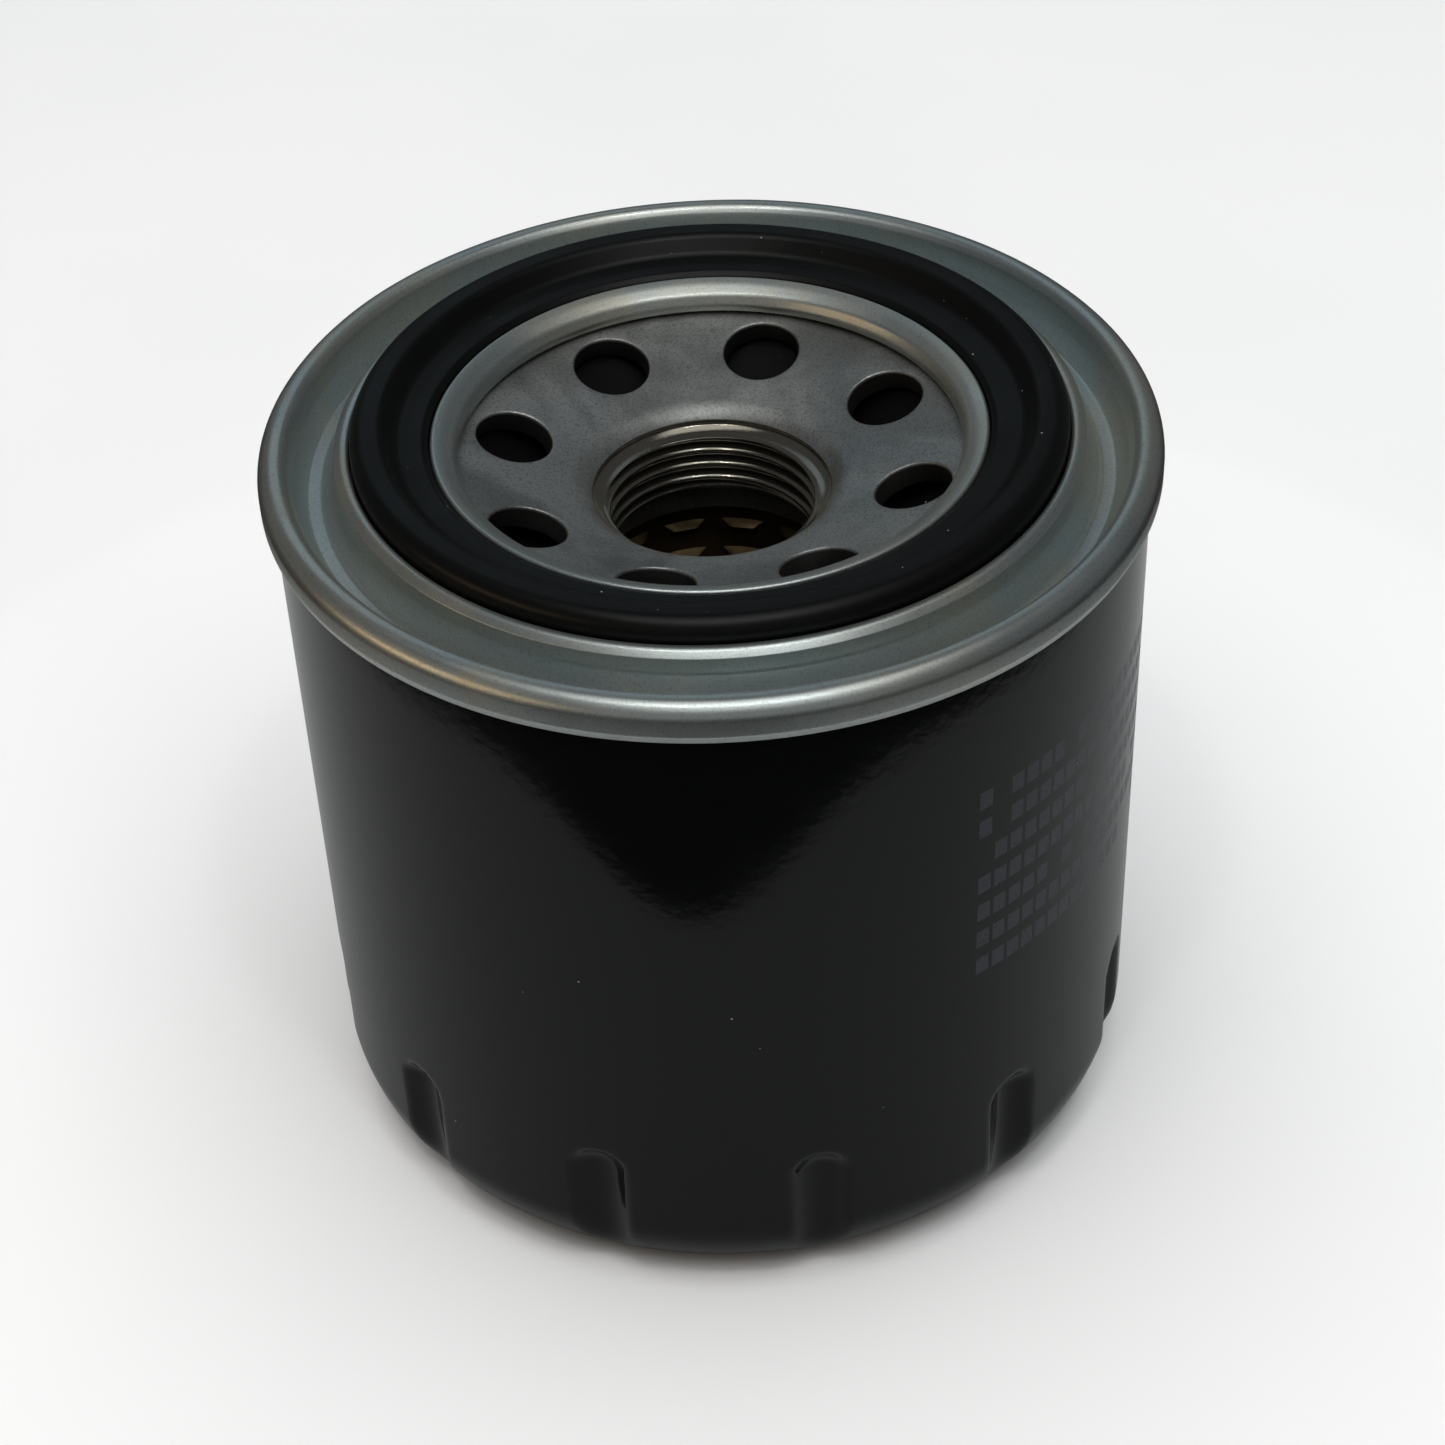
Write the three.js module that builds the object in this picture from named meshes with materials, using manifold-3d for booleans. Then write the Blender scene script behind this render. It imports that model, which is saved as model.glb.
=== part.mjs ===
// Spin-on engine oil filter, standing on its closed end with the threaded end up.
// Millimetres, +Z up. The origin is the middle of the base and +Z is the filter's axis.
// A black painted can is closed by a zinc-plated lid that is seamed over its rim. Under the lid a
// dished thread plate carries the M20 x 1.5 hub and eight oil inlets. Inside are the rubber
// anti-drain-back valve, the pleated element on its perforated tube, the bypass valve and a spring.

import * as THREE from "three";
import { mergeVertices } from "three/addons/utils/BufferGeometryUtils.js";
import Module from "manifold-3d";

const wasm = await Module();
wasm.setup();

// Driving dimensions of the outside.
const FACETS = 36; // facets around every large round piece
const FINE_FACETS = 20; // facets around the small round pieces
const BODY_RADIUS = 39; // painted wall of the can
const CAN_WALL = 0.6;
const CORNER_RADIUS = 8; // round edge of the closed end
const BASE_PANEL_RADIUS = 20; // raised middle of the closed end
const BASE_PANEL_RISE = 1.2;
const CAN_RIM = 68.6; // top edge of the can, hidden in the seam
const SEAM_RADIUS = 40;
const SEAM_FOOT = 67.1; // lower edge of the rolled seam
const SEAM_TOP = 70.9;
const SEAM_BEND = 1.5; // radius of its rounded top
const FACE_TOP = 73; // sealing face of the gasket, the highest point

// Wrench flutes pressed into the closed end.
const FLUTE_COUNT = 12;
const FLUTE_RADIUS = 3.1;
const FLUTE_CENTRE = 40.3; // distance of a flute's own axis from the filter's axis
const FLUTE_HEIGHT = 15.2; // height where a flute's domed top begins
const FLUTE_TURN = 10.4; // degrees from +X to the first flute

// Lid: a channel inside the seam, a lip, the gasket groove and a curled inner ring.
const LID_SHEET = 0.7;
const CHANNEL_FLOOR = 66.8;
const LIP_TOP = 71.1;
const LIP_OUTER = 33.2;
const GROOVE_OUTER = 31.85;
const GROOVE_INNER = 24.7;
const GROOVE_FLOOR = 69.3;
const RING_INNER = 22.4;
const RING_TOP = 70.94;

// Thread plate, dished towards its threaded hub.
const PLATE_RADIUS = 37.7;
const PLATE_THICKNESS = 2.2;
const PLATE_SHOULDER = 24.5; // radius where the flat part turns into the dish
const PLATE_TOP = 68.35;
const PLATE_RIM_TOP = 65.8;
const DISH_SLOPE = Math.tan(THREE.MathUtils.degToRad(15));
const INLET_COUNT = 8;
const INLET_RADIUS = 3.5;
const INLET_CIRCLE = 18.4;
const INLET_TURN = 118.7; // degrees from +X to the first inlet
const THREAD_MAJOR = 10; // M20 x 1.5
const THREAD_MINOR = 9.19;
const THREAD_PITCH = 1.5;
const THREAD_TURNS = 3;
const CURL_CENTRE = 13.44; // the dish curls over an arc round this radius and height
const CURL_CENTRE_Z = 61.81;
const CURL_RADIUS = 3.45;
const COUNTERBORE = 10.7; // short plain bore above the thread
const COUNTERBORE_Z = 63.4;
const HUB_OUTER = 12;
const HUB_FOOT = 57.4;

// Filter element, guided by the hub's rubber collar and pushed up by a spring.
const ELEMENT_TOP = 56.7;
const ELEMENT_FOOT = 12.9;
const ELEMENT_RADIUS = 34.5;
const CAP_SHEET = 0.5;
const CAP_RIM = 3.5; // height of an end cap's turned edge
const POTTING = 1.1; // thickness of the glue bed in an end cap
const BED_GAP = 0.2;
const TUBE_RADIUS = 13.1;
const TUBE_WALL = 0.5;
const PLEAT_COUNT = 40;
const PLEAT_INNER = 13.7;
const PLEAT_OUTER = 33.4;
const PLEAT_WIDTH = 1.7;
const PAPER = 0.6;

// Bypass valve on the element's lower end cap.
const BYPASS_PORT = 7;
const POPPET_RADIUS = 8.9;
const POPPET_FOOT = 14.5;
const POPPET_DISC = 1;
const STEM_RADIUS = 1.6;
const STEM_TOP = 27.4;
const CAGE_RADIUS = 10;
const CAGE_WALL = 0.6;
const CAGE_TOP = 25;

const PAINT = { color: 0x17191a, roughness: 0.35, metalness: 0.1 };
const ZINC = { color: 0x9aa0a0, roughness: 0.38, metalness: 0.9 };
const PLATE_STEEL = { color: 0x8f9492, roughness: 0.45, metalness: 0.9 };
const INNER_STEEL = { color: 0x7b7a72, roughness: 0.5, metalness: 0.85 };
const SPRING_STEEL = { color: 0x6e7072, roughness: 0.35, metalness: 0.95 };
const RUBBER = { color: 0x161616, roughness: 0.75, metalness: 0 };
const COMPOUND = { color: 0x3c3a36, roughness: 0.8, metalness: 0 };
const GLUE = { color: 0x7d5530, roughness: 0.6, metalness: 0 };
const MEDIA_PAPER = { color: 0xb98a4c, roughness: 0.9, metalness: 0 };

const filter = new THREE.Group();

// Adds one named piece to the filter.
function addPiece(name, geometry, finish) {
  const mesh = new THREE.Mesh(geometry, new THREE.MeshStandardMaterial(finish));
  mesh.name = name;
  filter.add(mesh);
}

function at(radius, height) {
  return new THREE.Vector2(radius, height);
}

// Points of an arc in the half plane of radius and height, angles in degrees from outward to up.
function arc(radius, height, bend, from, to, steps) {
  const points = [];
  for (let i = 0; i <= steps; i += 1) {
    const angle = THREE.MathUtils.degToRad(from + ((to - from) * i) / steps);
    points.push(at(radius + bend * Math.cos(angle), height + bend * Math.sin(angle)));
  }
  return points;
}

// Turns a profile, listed anticlockwise with radius to the right, around the Z axis.
function turned(profile, facets = FACETS) {
  const closed = profile[0].x === 0 ? profile : [...profile, profile[0]];
  return new THREE.LatheGeometry(closed, facets).rotateX(Math.PI / 2);
}

// A plain washer or bush.
function bush(inner, outer, foot, top, facets = FACETS) {
  return turned([at(inner, foot), at(outer, foot), at(outer, top), at(inner, top)], facets);
}

function toSolid(geometry) {
  geometry.deleteAttribute("normal");
  geometry.deleteAttribute("uv");
  const merged = mergeVertices(geometry, 1e-4);
  const vertProperties = new Float32Array(merged.attributes.position.array);
  const triVerts = new Uint32Array(merged.index.array);
  return new wasm.Manifold(new wasm.Mesh({ numProp: 3, vertProperties, triVerts }));
}

function toGeometry(solid) {
  const mesh = solid.getMesh();
  const geometry = new THREE.BufferGeometry();
  geometry.setAttribute("position", new THREE.BufferAttribute(mesh.vertProperties, 3));
  geometry.setIndex(new THREE.BufferAttribute(mesh.triVerts, 1));
  return geometry;
}

// Takes each tool out of the solid in turn.
function cutBy(solid, tools) {
  return tools.reduce((rest, tool) => rest.subtract(tool), solid);
}

// Copies of one tool geometry, spaced evenly round the Z axis.
function spacedTools(makeTool, count, firstDegrees) {
  return Array.from({ length: count }, (_, i) => {
    const angle = THREE.MathUtils.degToRad(firstDegrees + (i * 360) / count);
    return toSolid(makeTool().rotateZ(angle));
  });
}

// An upright domed post outside the wall: the shape that a flute presses into it.
function flutePost(radius) {
  const post = turned([at(0, -2), at(radius, -2), ...arc(0, FLUTE_HEIGHT, radius, 0, 90, 3)], 14);
  return post.translate(FLUTE_CENTRE, 0, 0);
}

function canister() {
  const middle = BODY_RADIUS - CORNER_RADIUS;
  const panelFoot = BASE_PANEL_RADIUS + 2;
  const outside = turned([
    at(0, BASE_PANEL_RISE),
    at(BASE_PANEL_RADIUS, BASE_PANEL_RISE),
    at(panelFoot, 0),
    ...arc(middle, CORNER_RADIUS, CORNER_RADIUS, -90, 0, 5),
    at(BODY_RADIUS, CAN_RIM),
    at(0, CAN_RIM),
  ]);
  const inside = turned([
    at(0, BASE_PANEL_RISE + CAN_WALL),
    at(BASE_PANEL_RADIUS + CAN_WALL / 2, BASE_PANEL_RISE + CAN_WALL),
    at(panelFoot + CAN_WALL / 2, CAN_WALL),
    ...arc(middle, CORNER_RADIUS, CORNER_RADIUS - CAN_WALL, -90, 0, 5),
    at(BODY_RADIUS - CAN_WALL, CAN_RIM + 1),
    at(0, CAN_RIM + 1),
  ]);
  const dents = spacedTools(() => flutePost(FLUTE_RADIUS), FLUTE_COUNT, FLUTE_TURN);
  const bulges = spacedTools(() => flutePost(FLUTE_RADIUS + CAN_WALL), FLUTE_COUNT, FLUTE_TURN);
  const hollow = cutBy(toSolid(inside), bulges);
  return toGeometry(cutBy(toSolid(outside), dents).subtract(hollow));
}

function seamingLid() {
  const under = CHANNEL_FLOOR - LID_SHEET;
  const ringFoot = PLATE_TOP - 0.05;
  const hookInner = SEAM_RADIUS - LID_SHEET;
  return turned([
    at(hookInner, SEAM_FOOT),
    at(SEAM_RADIUS, SEAM_FOOT),
    ...arc(SEAM_RADIUS - SEAM_BEND, SEAM_TOP - SEAM_BEND, SEAM_BEND, 0, 120, 3),
    at(37.4, 70.1),
    at(36.9, CHANNEL_FLOOR + 0.4),
    at(36.5, CHANNEL_FLOOR),
    at(LIP_OUTER + 1, CHANNEL_FLOOR),
    at(LIP_OUTER + 0.15, LIP_TOP - 0.7),
    at(LIP_OUTER, LIP_TOP - 0.5),
    at(LIP_OUTER - 0.45, LIP_TOP),
    at(GROOVE_OUTER + 0.35, LIP_TOP),
    at(GROOVE_OUTER, LIP_TOP - 0.4),
    at(GROOVE_OUTER, GROOVE_FLOOR),
    at(GROOVE_INNER, GROOVE_FLOOR),
    at(GROOVE_INNER, RING_TOP - 0.35),
    at(GROOVE_INNER - 0.4, RING_TOP),
    at(RING_INNER + 0.5, RING_TOP - 0.55),
    at(RING_INNER, RING_TOP - 1.5),
    at(RING_INNER, ringFoot),
    at(RING_INNER + LID_SHEET, ringFoot),
    at(RING_INNER + LID_SHEET, RING_TOP - LID_SHEET - 0.5),
    at(GROOVE_INNER - LID_SHEET, RING_TOP - LID_SHEET),
    at(GROOVE_INNER - LID_SHEET, GROOVE_FLOOR - LID_SHEET),
    at(32.7, GROOVE_FLOOR - LID_SHEET),
    at(33.8, under),
    at(37, under),
    at(37.6, under + 0.9),
    at(38.1, 69.5),
    at(38.7, 69.9),
    at(hookInner, 69.5),
  ]);
}

function threadPlate() {
  const rimFoot = PLATE_RIM_TOP - PLATE_THICKNESS;
  const dishTop = (radius) => PLATE_TOP - (PLATE_SHOULDER - radius) * DISH_SLOPE;
  const dishFoot = (radius) => dishTop(radius) - PLATE_THICKNESS * 1.035;
  const threads = [];
  const threadTop = COUNTERBORE_Z - 0.3;
  for (let i = 0; i <= THREAD_TURNS; i += 1) {
    const crest = threadTop - i * THREAD_PITCH;
    threads.push(at(THREAD_MINOR, crest), at(THREAD_MAJOR, crest - THREAD_PITCH / 2));
  }
  threads.pop();
  const blank = turned([
    at(PLATE_RADIUS, rimFoot),
    at(PLATE_RADIUS, PLATE_RIM_TOP),
    at(33.4, PLATE_RIM_TOP),
    at(32.7, PLATE_TOP - 0.25),
    at(32.4, PLATE_TOP),
    at(PLATE_SHOULDER, PLATE_TOP),
    ...arc(CURL_CENTRE, CURL_CENTRE_Z, CURL_RADIUS, 105, 140, 2),
    at(COUNTERBORE, COUNTERBORE_Z),
    ...threads,
    at(THREAD_MAJOR - 0.1, HUB_FOOT),
    at(HUB_OUTER, HUB_FOOT),
    at(HUB_OUTER, dishFoot(HUB_OUTER) - 1.2),
    at(HUB_OUTER + 1.2, dishFoot(HUB_OUTER + 1.2)),
    at(PLATE_SHOULDER, PLATE_TOP - PLATE_THICKNESS),
    at(31, PLATE_TOP - PLATE_THICKNESS),
    at(31.5, rimFoot),
  ]);
  const tilt = Math.atan(DISH_SLOPE);
  const punch = () => {
    const rod = new THREE.CylinderGeometry(INLET_RADIUS, INLET_RADIUS, 8, 12).rotateX(Math.PI / 2);
    return rod.rotateY(-tilt).translate(INLET_CIRCLE, 0, dishTop(INLET_CIRCLE));
  };
  return toGeometry(cutBy(toSolid(blank), spacedTools(punch, INLET_COUNT, INLET_TURN)));
}

// Outer sealing bead, a shallow valley and a lower inner flange.
function sealingGasket() {
  const foot = GROOVE_FLOOR + 0.15;
  const outer = GROOVE_OUTER - 0.25;
  const inner = GROOVE_INNER + 0.25;
  return turned([
    at(inner, foot),
    at(outer, foot),
    ...arc(outer - 1.3, FACE_TOP - 1.3, 1.3, 0, 90, 2),
    at(outer - 2.6, FACE_TOP),
    at(outer - 3.5, FACE_TOP - 0.7),
    at(outer - 4.1, FACE_TOP - 1.4),
    at(outer - 5.2, FACE_TOP - 1.8),
    at(inner + 0.4, FACE_TOP - 1.9),
    at(inner, FACE_TOP - 2.2),
  ]);
}

// Rubber collar round the hub, with a thin flap that lies on the plate outside the inlets.
function antiDrainbackValve() {
  const bore = HUB_OUTER + 0.3;
  const foot = ELEMENT_TOP + BED_GAP;
  return turned([
    at(bore, foot),
    at(bore + 2, foot),
    at(bore + 2.4, 60),
    at(18.7, 61.4),
    at(22.8, 64.2),
    at(23.8, 65.3),
    at(23.3, 65.55),
    at(22, 64.9),
    at(18.4, 62.4),
    at(bore + 1.8, 61),
    at(bore, 61.3),
  ]);
}

// Cupped sheet disc with a turned rim: outside of the cup at outerZ, rim towards the paper.
function endCap(outerZ, toPaper, hole, collar) {
  const inner = outerZ + toPaper * CAP_SHEET;
  const outline = [
    at(hole, outerZ + toPaper * collar),
    at(hole, outerZ),
    at(ELEMENT_RADIUS, outerZ),
    at(ELEMENT_RADIUS, outerZ + toPaper * CAP_RIM),
    at(ELEMENT_RADIUS - CAP_SHEET, outerZ + toPaper * CAP_RIM),
    at(ELEMENT_RADIUS - CAP_SHEET, inner),
    at(hole + CAP_SHEET, inner),
    at(hole + CAP_SHEET, outerZ + toPaper * collar),
  ];
  return turned(toPaper > 0 ? outline : outline.reverse());
}

function glueBed(foot) {
  return bush(TUBE_RADIUS + 0.3, ELEMENT_RADIUS - CAP_SHEET - 0.3, foot, foot + POTTING);
}

// Folded paper: a thin round wall with a hollow two-ply pleat standing out of it at each step.
function pleatedMedia(foot, height) {
  const step = (2 * Math.PI) / PLEAT_COUNT;
  const edge = (root, tip, halfWidth) => {
    const points = [];
    for (let i = 0; i < PLEAT_COUNT; i += 1) {
      const side = new THREE.Vector2();
      for (const [radius, offset] of [[root, -1], [tip, -1], [tip, 1], [root, 1]]) {
        side.set(radius, offset * halfWidth).rotateAround(new THREE.Vector2(), i * step);
        points.push(side.clone());
      }
    }
    return points;
  };
  const outline = new THREE.Shape(edge(PLEAT_INNER + PAPER, PLEAT_OUTER, PLEAT_WIDTH / 2));
  outline.holes.push(new THREE.Path(edge(PLEAT_INNER, PLEAT_OUTER - PAPER, PLEAT_WIDTH / 2 - PAPER)));
  const sheet = new THREE.ExtrudeGeometry(outline, { depth: height, bevelEnabled: false });
  return sheet.translate(0, 0, foot);
}

// Folded steel strip crimped over the pleat that joins the paper's two ends.
function seamClip(foot, height) {
  const inner = PLEAT_WIDTH / 2 + 0.15;
  const outer = inner + 0.3;
  const root = PLEAT_OUTER - 4.5;
  const crown = PLEAT_OUTER + 0.15;
  const outline = new THREE.Shape([
    at(root, inner), at(crown, inner), at(crown, -inner), at(root, -inner),
    at(root, -outer), at(crown + 0.3, -outer), at(crown + 0.3, outer), at(root, outer),
  ]);
  const strip = new THREE.ExtrudeGeometry(outline, { depth: height, bevelEnabled: false });
  return strip.translate(0, 0, foot);
}

// Rolled steel tube with rows of round perforations, drilled through both sides at once.
function centreTube(foot, top) {
  const rows = 4;
  const drills = 4;
  const tools = [];
  for (let row = 0; row < rows; row += 1) {
    const height = foot + ((top - foot) * (row + 1)) / (rows + 1);
    const drill = () => new THREE.CylinderGeometry(2, 2, 3 * TUBE_RADIUS, 6).translate(0, 0, height);
    for (let i = 0; i < drills; i += 1) {
      const angle = ((i + (row % 2) / 2) * Math.PI) / drills;
      tools.push(toSolid(drill().rotateZ(angle)));
    }
  }
  const tube = toSolid(bush(TUBE_RADIUS - TUBE_WALL, TUBE_RADIUS, foot, top));
  return toGeometry(cutBy(tube, tools));
}

// Flanged cage with four side windows; the bypass spring works inside it.
function bypassCage(foot) {
  const body = toSolid(turned([
    at(CAGE_RADIUS - CAGE_WALL, foot),
    at(CAGE_RADIUS + 1.8, foot),
    at(CAGE_RADIUS + 1.8, foot + CAGE_WALL),
    at(CAGE_RADIUS, foot + CAGE_WALL),
    at(CAGE_RADIUS, CAGE_TOP),
    at(CAGE_RADIUS - CAGE_WALL, CAGE_TOP),
  ], FINE_FACETS));
  const windows = spacedTools(() => new THREE.BoxGeometry(5, 6, 6).translate(CAGE_RADIUS, 0, 19.5), 4, 45);
  return toGeometry(cutBy(body, windows));
}

function bypassPoppet() {
  return turned([
    at(0, POPPET_FOOT),
    at(POPPET_RADIUS, POPPET_FOOT),
    at(POPPET_RADIUS, POPPET_FOOT + POPPET_DISC),
    at(STEM_RADIUS, POPPET_FOOT + POPPET_DISC),
    at(STEM_RADIUS, STEM_TOP),
    at(0, STEM_TOP),
  ], FINE_FACETS);
}

// A rising circle whose radius changes evenly from its lower end to its upper end.
class CoilPath extends THREE.Curve {
  constructor(lowRadius, highRadius, foot, top, turns) {
    super();
    Object.assign(this, { lowRadius, highRadius, foot, top, turns });
  }

  getPoint(share, target = new THREE.Vector3()) {
    const angle = 2 * Math.PI * this.turns * share;
    const radius = THREE.MathUtils.lerp(this.lowRadius, this.highRadius, share);
    const height = THREE.MathUtils.lerp(this.foot, this.top, share);
    return target.set(radius * Math.cos(angle), radius * Math.sin(angle), height);
  }
}

function coilSpring(path, wireRadius) {
  const wire = new THREE.Shape().absarc(0, 0, wireRadius, 0, 2 * Math.PI);
  const steps = Math.round(path.turns * 12);
  return new THREE.ExtrudeGeometry(wire, { steps, curveSegments: 3, extrudePath: path, bevelEnabled: false });
}

addPiece("canister", canister(), PAINT);
addPiece("seaming_lid", seamingLid(), ZINC);
addPiece("seam_compound", bush(38.5, 38.95, CAN_RIM + 0.25, CAN_RIM + 0.65), COMPOUND);
addPiece("thread_plate", threadPlate(), PLATE_STEEL);
addPiece("sealing_gasket", sealingGasket(), RUBBER);
addPiece("anti_drainback_valve", antiDrainbackValve(), RUBBER);

const lowerBed = ELEMENT_FOOT + CAP_SHEET + BED_GAP;
const upperBed = ELEMENT_TOP - CAP_SHEET - BED_GAP - POTTING;
const paperFoot = lowerBed + POTTING + BED_GAP;
const paperHeight = upperBed - BED_GAP - paperFoot;
addPiece("element_top_cap", endCap(ELEMENT_TOP, -1, 11.2, 3), INNER_STEEL);
addPiece("element_bottom_cap", endCap(ELEMENT_FOOT, 1, BYPASS_PORT, CAP_SHEET), INNER_STEEL);
addPiece("top_glue_bed", glueBed(upperBed), GLUE);
addPiece("bottom_glue_bed", glueBed(lowerBed), GLUE);
addPiece("pleated_media", pleatedMedia(paperFoot, paperHeight), MEDIA_PAPER);
addPiece("media_seam_clip", seamClip(paperFoot + 2, paperHeight - 4), INNER_STEEL);
addPiece("centre_tube", centreTube(lowerBed + 0.1, ELEMENT_TOP - CAP_SHEET - 0.3), INNER_STEEL);

const capFace = ELEMENT_FOOT + CAP_SHEET;
addPiece("bypass_cage", bypassCage(capFace + 0.3), INNER_STEEL);
const seal = bush(BYPASS_PORT + 0.3, POPPET_RADIUS, capFace + 0.2, capFace + 0.9, FINE_FACETS);
addPiece("bypass_seal", seal, RUBBER);
addPiece("bypass_poppet", bypassPoppet(), INNER_STEEL);
const retainer = bush(STEM_RADIUS + 0.5, CAGE_RADIUS - 0.1, CAGE_TOP + 0.2, CAGE_TOP + 0.9, FINE_FACETS);
addPiece("bypass_retainer", retainer, INNER_STEEL);
const bypassCoil = new CoilPath(5.5, 5.5, POPPET_FOOT + POPPET_DISC + 0.8, CAGE_TOP - 0.5, 6);
addPiece("bypass_spring", coilSpring(bypassCoil, 0.5), SPRING_STEEL);

const panelTop = BASE_PANEL_RISE + CAN_WALL;
const supportCoil = new CoilPath(15.5, 12, panelTop + 1.1, ELEMENT_FOOT - 1.2, 3);
addPiece("support_spring", coilSpring(supportCoil, 0.9), SPRING_STEEL);

export default filter;
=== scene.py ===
"""Spin-on oil filter: fine surfaces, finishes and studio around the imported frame.

Sizes inside the classes are millimetres, with the base of the can at height 0 and +Z along the
filter's axis. They become metres when a mesh is made. A turned piece is its outline carried round
the axis; a pierced piece is a grid of cells, each a sheet of rings between the cell's edge and a hole.
"""

import logging
import math
from collections.abc import Sequence
from dataclasses import dataclass, field
from enum import Enum

import bmesh
import bpy
import numpy as np
from mathutils import Matrix, Vector


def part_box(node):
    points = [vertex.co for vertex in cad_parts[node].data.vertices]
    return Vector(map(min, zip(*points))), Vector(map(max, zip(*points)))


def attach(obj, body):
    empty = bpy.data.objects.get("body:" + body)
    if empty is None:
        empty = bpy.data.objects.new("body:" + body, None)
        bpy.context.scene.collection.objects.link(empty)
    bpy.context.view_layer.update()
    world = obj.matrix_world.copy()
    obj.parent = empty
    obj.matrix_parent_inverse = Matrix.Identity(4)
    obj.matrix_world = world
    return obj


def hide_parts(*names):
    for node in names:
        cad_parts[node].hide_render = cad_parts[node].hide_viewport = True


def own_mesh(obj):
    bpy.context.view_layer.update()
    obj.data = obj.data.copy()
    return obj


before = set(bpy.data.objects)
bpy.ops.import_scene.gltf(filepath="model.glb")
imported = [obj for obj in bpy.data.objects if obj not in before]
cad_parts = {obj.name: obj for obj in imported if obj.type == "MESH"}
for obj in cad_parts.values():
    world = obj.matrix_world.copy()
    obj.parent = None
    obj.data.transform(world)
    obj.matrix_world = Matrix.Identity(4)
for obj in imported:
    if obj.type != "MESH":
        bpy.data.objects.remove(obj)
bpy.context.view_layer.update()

LOG = logging.getLogger("oil_filter")
MM = 0.001
TAU = 2 * math.pi
PLATE_SLOPE = math.radians(15)
HUB_MOUTH = 10.74
HUB_FACE_FOOT = 61.785
Corner = tuple[float, float, float]
Point = tuple[float, float, float]
Colour = tuple[float, float, float, float]


# ---------------------------------------------------------------- shader maths


class Value:
    """A number that varies over a surface: one output socket with Python arithmetic."""

    def __init__(self, graph: "Graph", socket: bpy.types.NodeSocket) -> None:
        """Keep the node graph and the socket that carries the number."""
        self.graph = graph
        self.socket = socket

    def _math(self, operation: str, *operands: "Value | float", clamp: bool = False) -> "Value":
        """Add one Math node.

        Args:
            operation: the Math node's operation.
            operands: its values or links, in order.
            clamp: whether the result is held between 0 and 1.

        Returns:
            The node's result.
        """
        settings = {"operation": operation, "use_clamp": clamp}
        node = self.graph.add("ShaderNodeMath", settings, dict(enumerate(operands)))
        return Value(self.graph, node.outputs[0])

    def __add__(self, other: "Value | float") -> "Value":
        """Sum."""
        return self._math("ADD", self, other)

    __radd__ = __add__

    def __sub__(self, other: "Value | float") -> "Value":
        """Difference."""
        return self._math("SUBTRACT", self, other)

    def __rsub__(self, other: "Value | float") -> "Value":
        """Difference from a number."""
        return self._math("SUBTRACT", other, self)

    def __mul__(self, other: "Value | float") -> "Value":
        """Product."""
        return self._math("MULTIPLY", self, other)

    __rmul__ = __mul__

    def __truediv__(self, other: "Value | float") -> "Value":
        """Quotient."""
        return self._math("DIVIDE", self, other)

    def __pow__(self, other: "Value | float") -> "Value":
        """Power."""
        return self._math("POWER", self, other)

    def above(self, limit: "Value | float") -> "Value":
        """Give 1 where the number is above the limit, else 0."""
        return self._math("GREATER_THAN", self, limit)

    def floor(self) -> "Value":
        """Whole number below."""
        return self._math("FLOOR", self)

    def fraction(self) -> "Value":
        """Part after the whole number."""
        return self._math("FRACT", self)

    def clamped(self) -> "Value":
        """The number held between 0 and 1."""
        return self._math("ADD", self, 0.0, clamp=True)

    def between(self, low: "Value | float", high: "Value | float") -> "Value":
        """Give 1 between two limits, else 0."""
        return self.above(low) * (1.0 - self.above(high))

    def eased(self, low: float, high: float, to_low: float = 0.0, to_high: float = 1.0) -> "Value":
        """Carry the range low..high smoothly onto to_low..to_high.

        Args:
            low: start of the range.
            high: end of the range.
            to_low: result at and before the start.
            to_high: result at and past the end.

        Returns:
            The eased number.
        """
        inputs = {0: self, 1: low, 2: high, 3: to_low, 4: to_high}
        node = self.graph.add("ShaderNodeMapRange", {"interpolation_type": "SMOOTHSTEP"}, inputs)
        return Value(self.graph, node.outputs[0])


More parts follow.
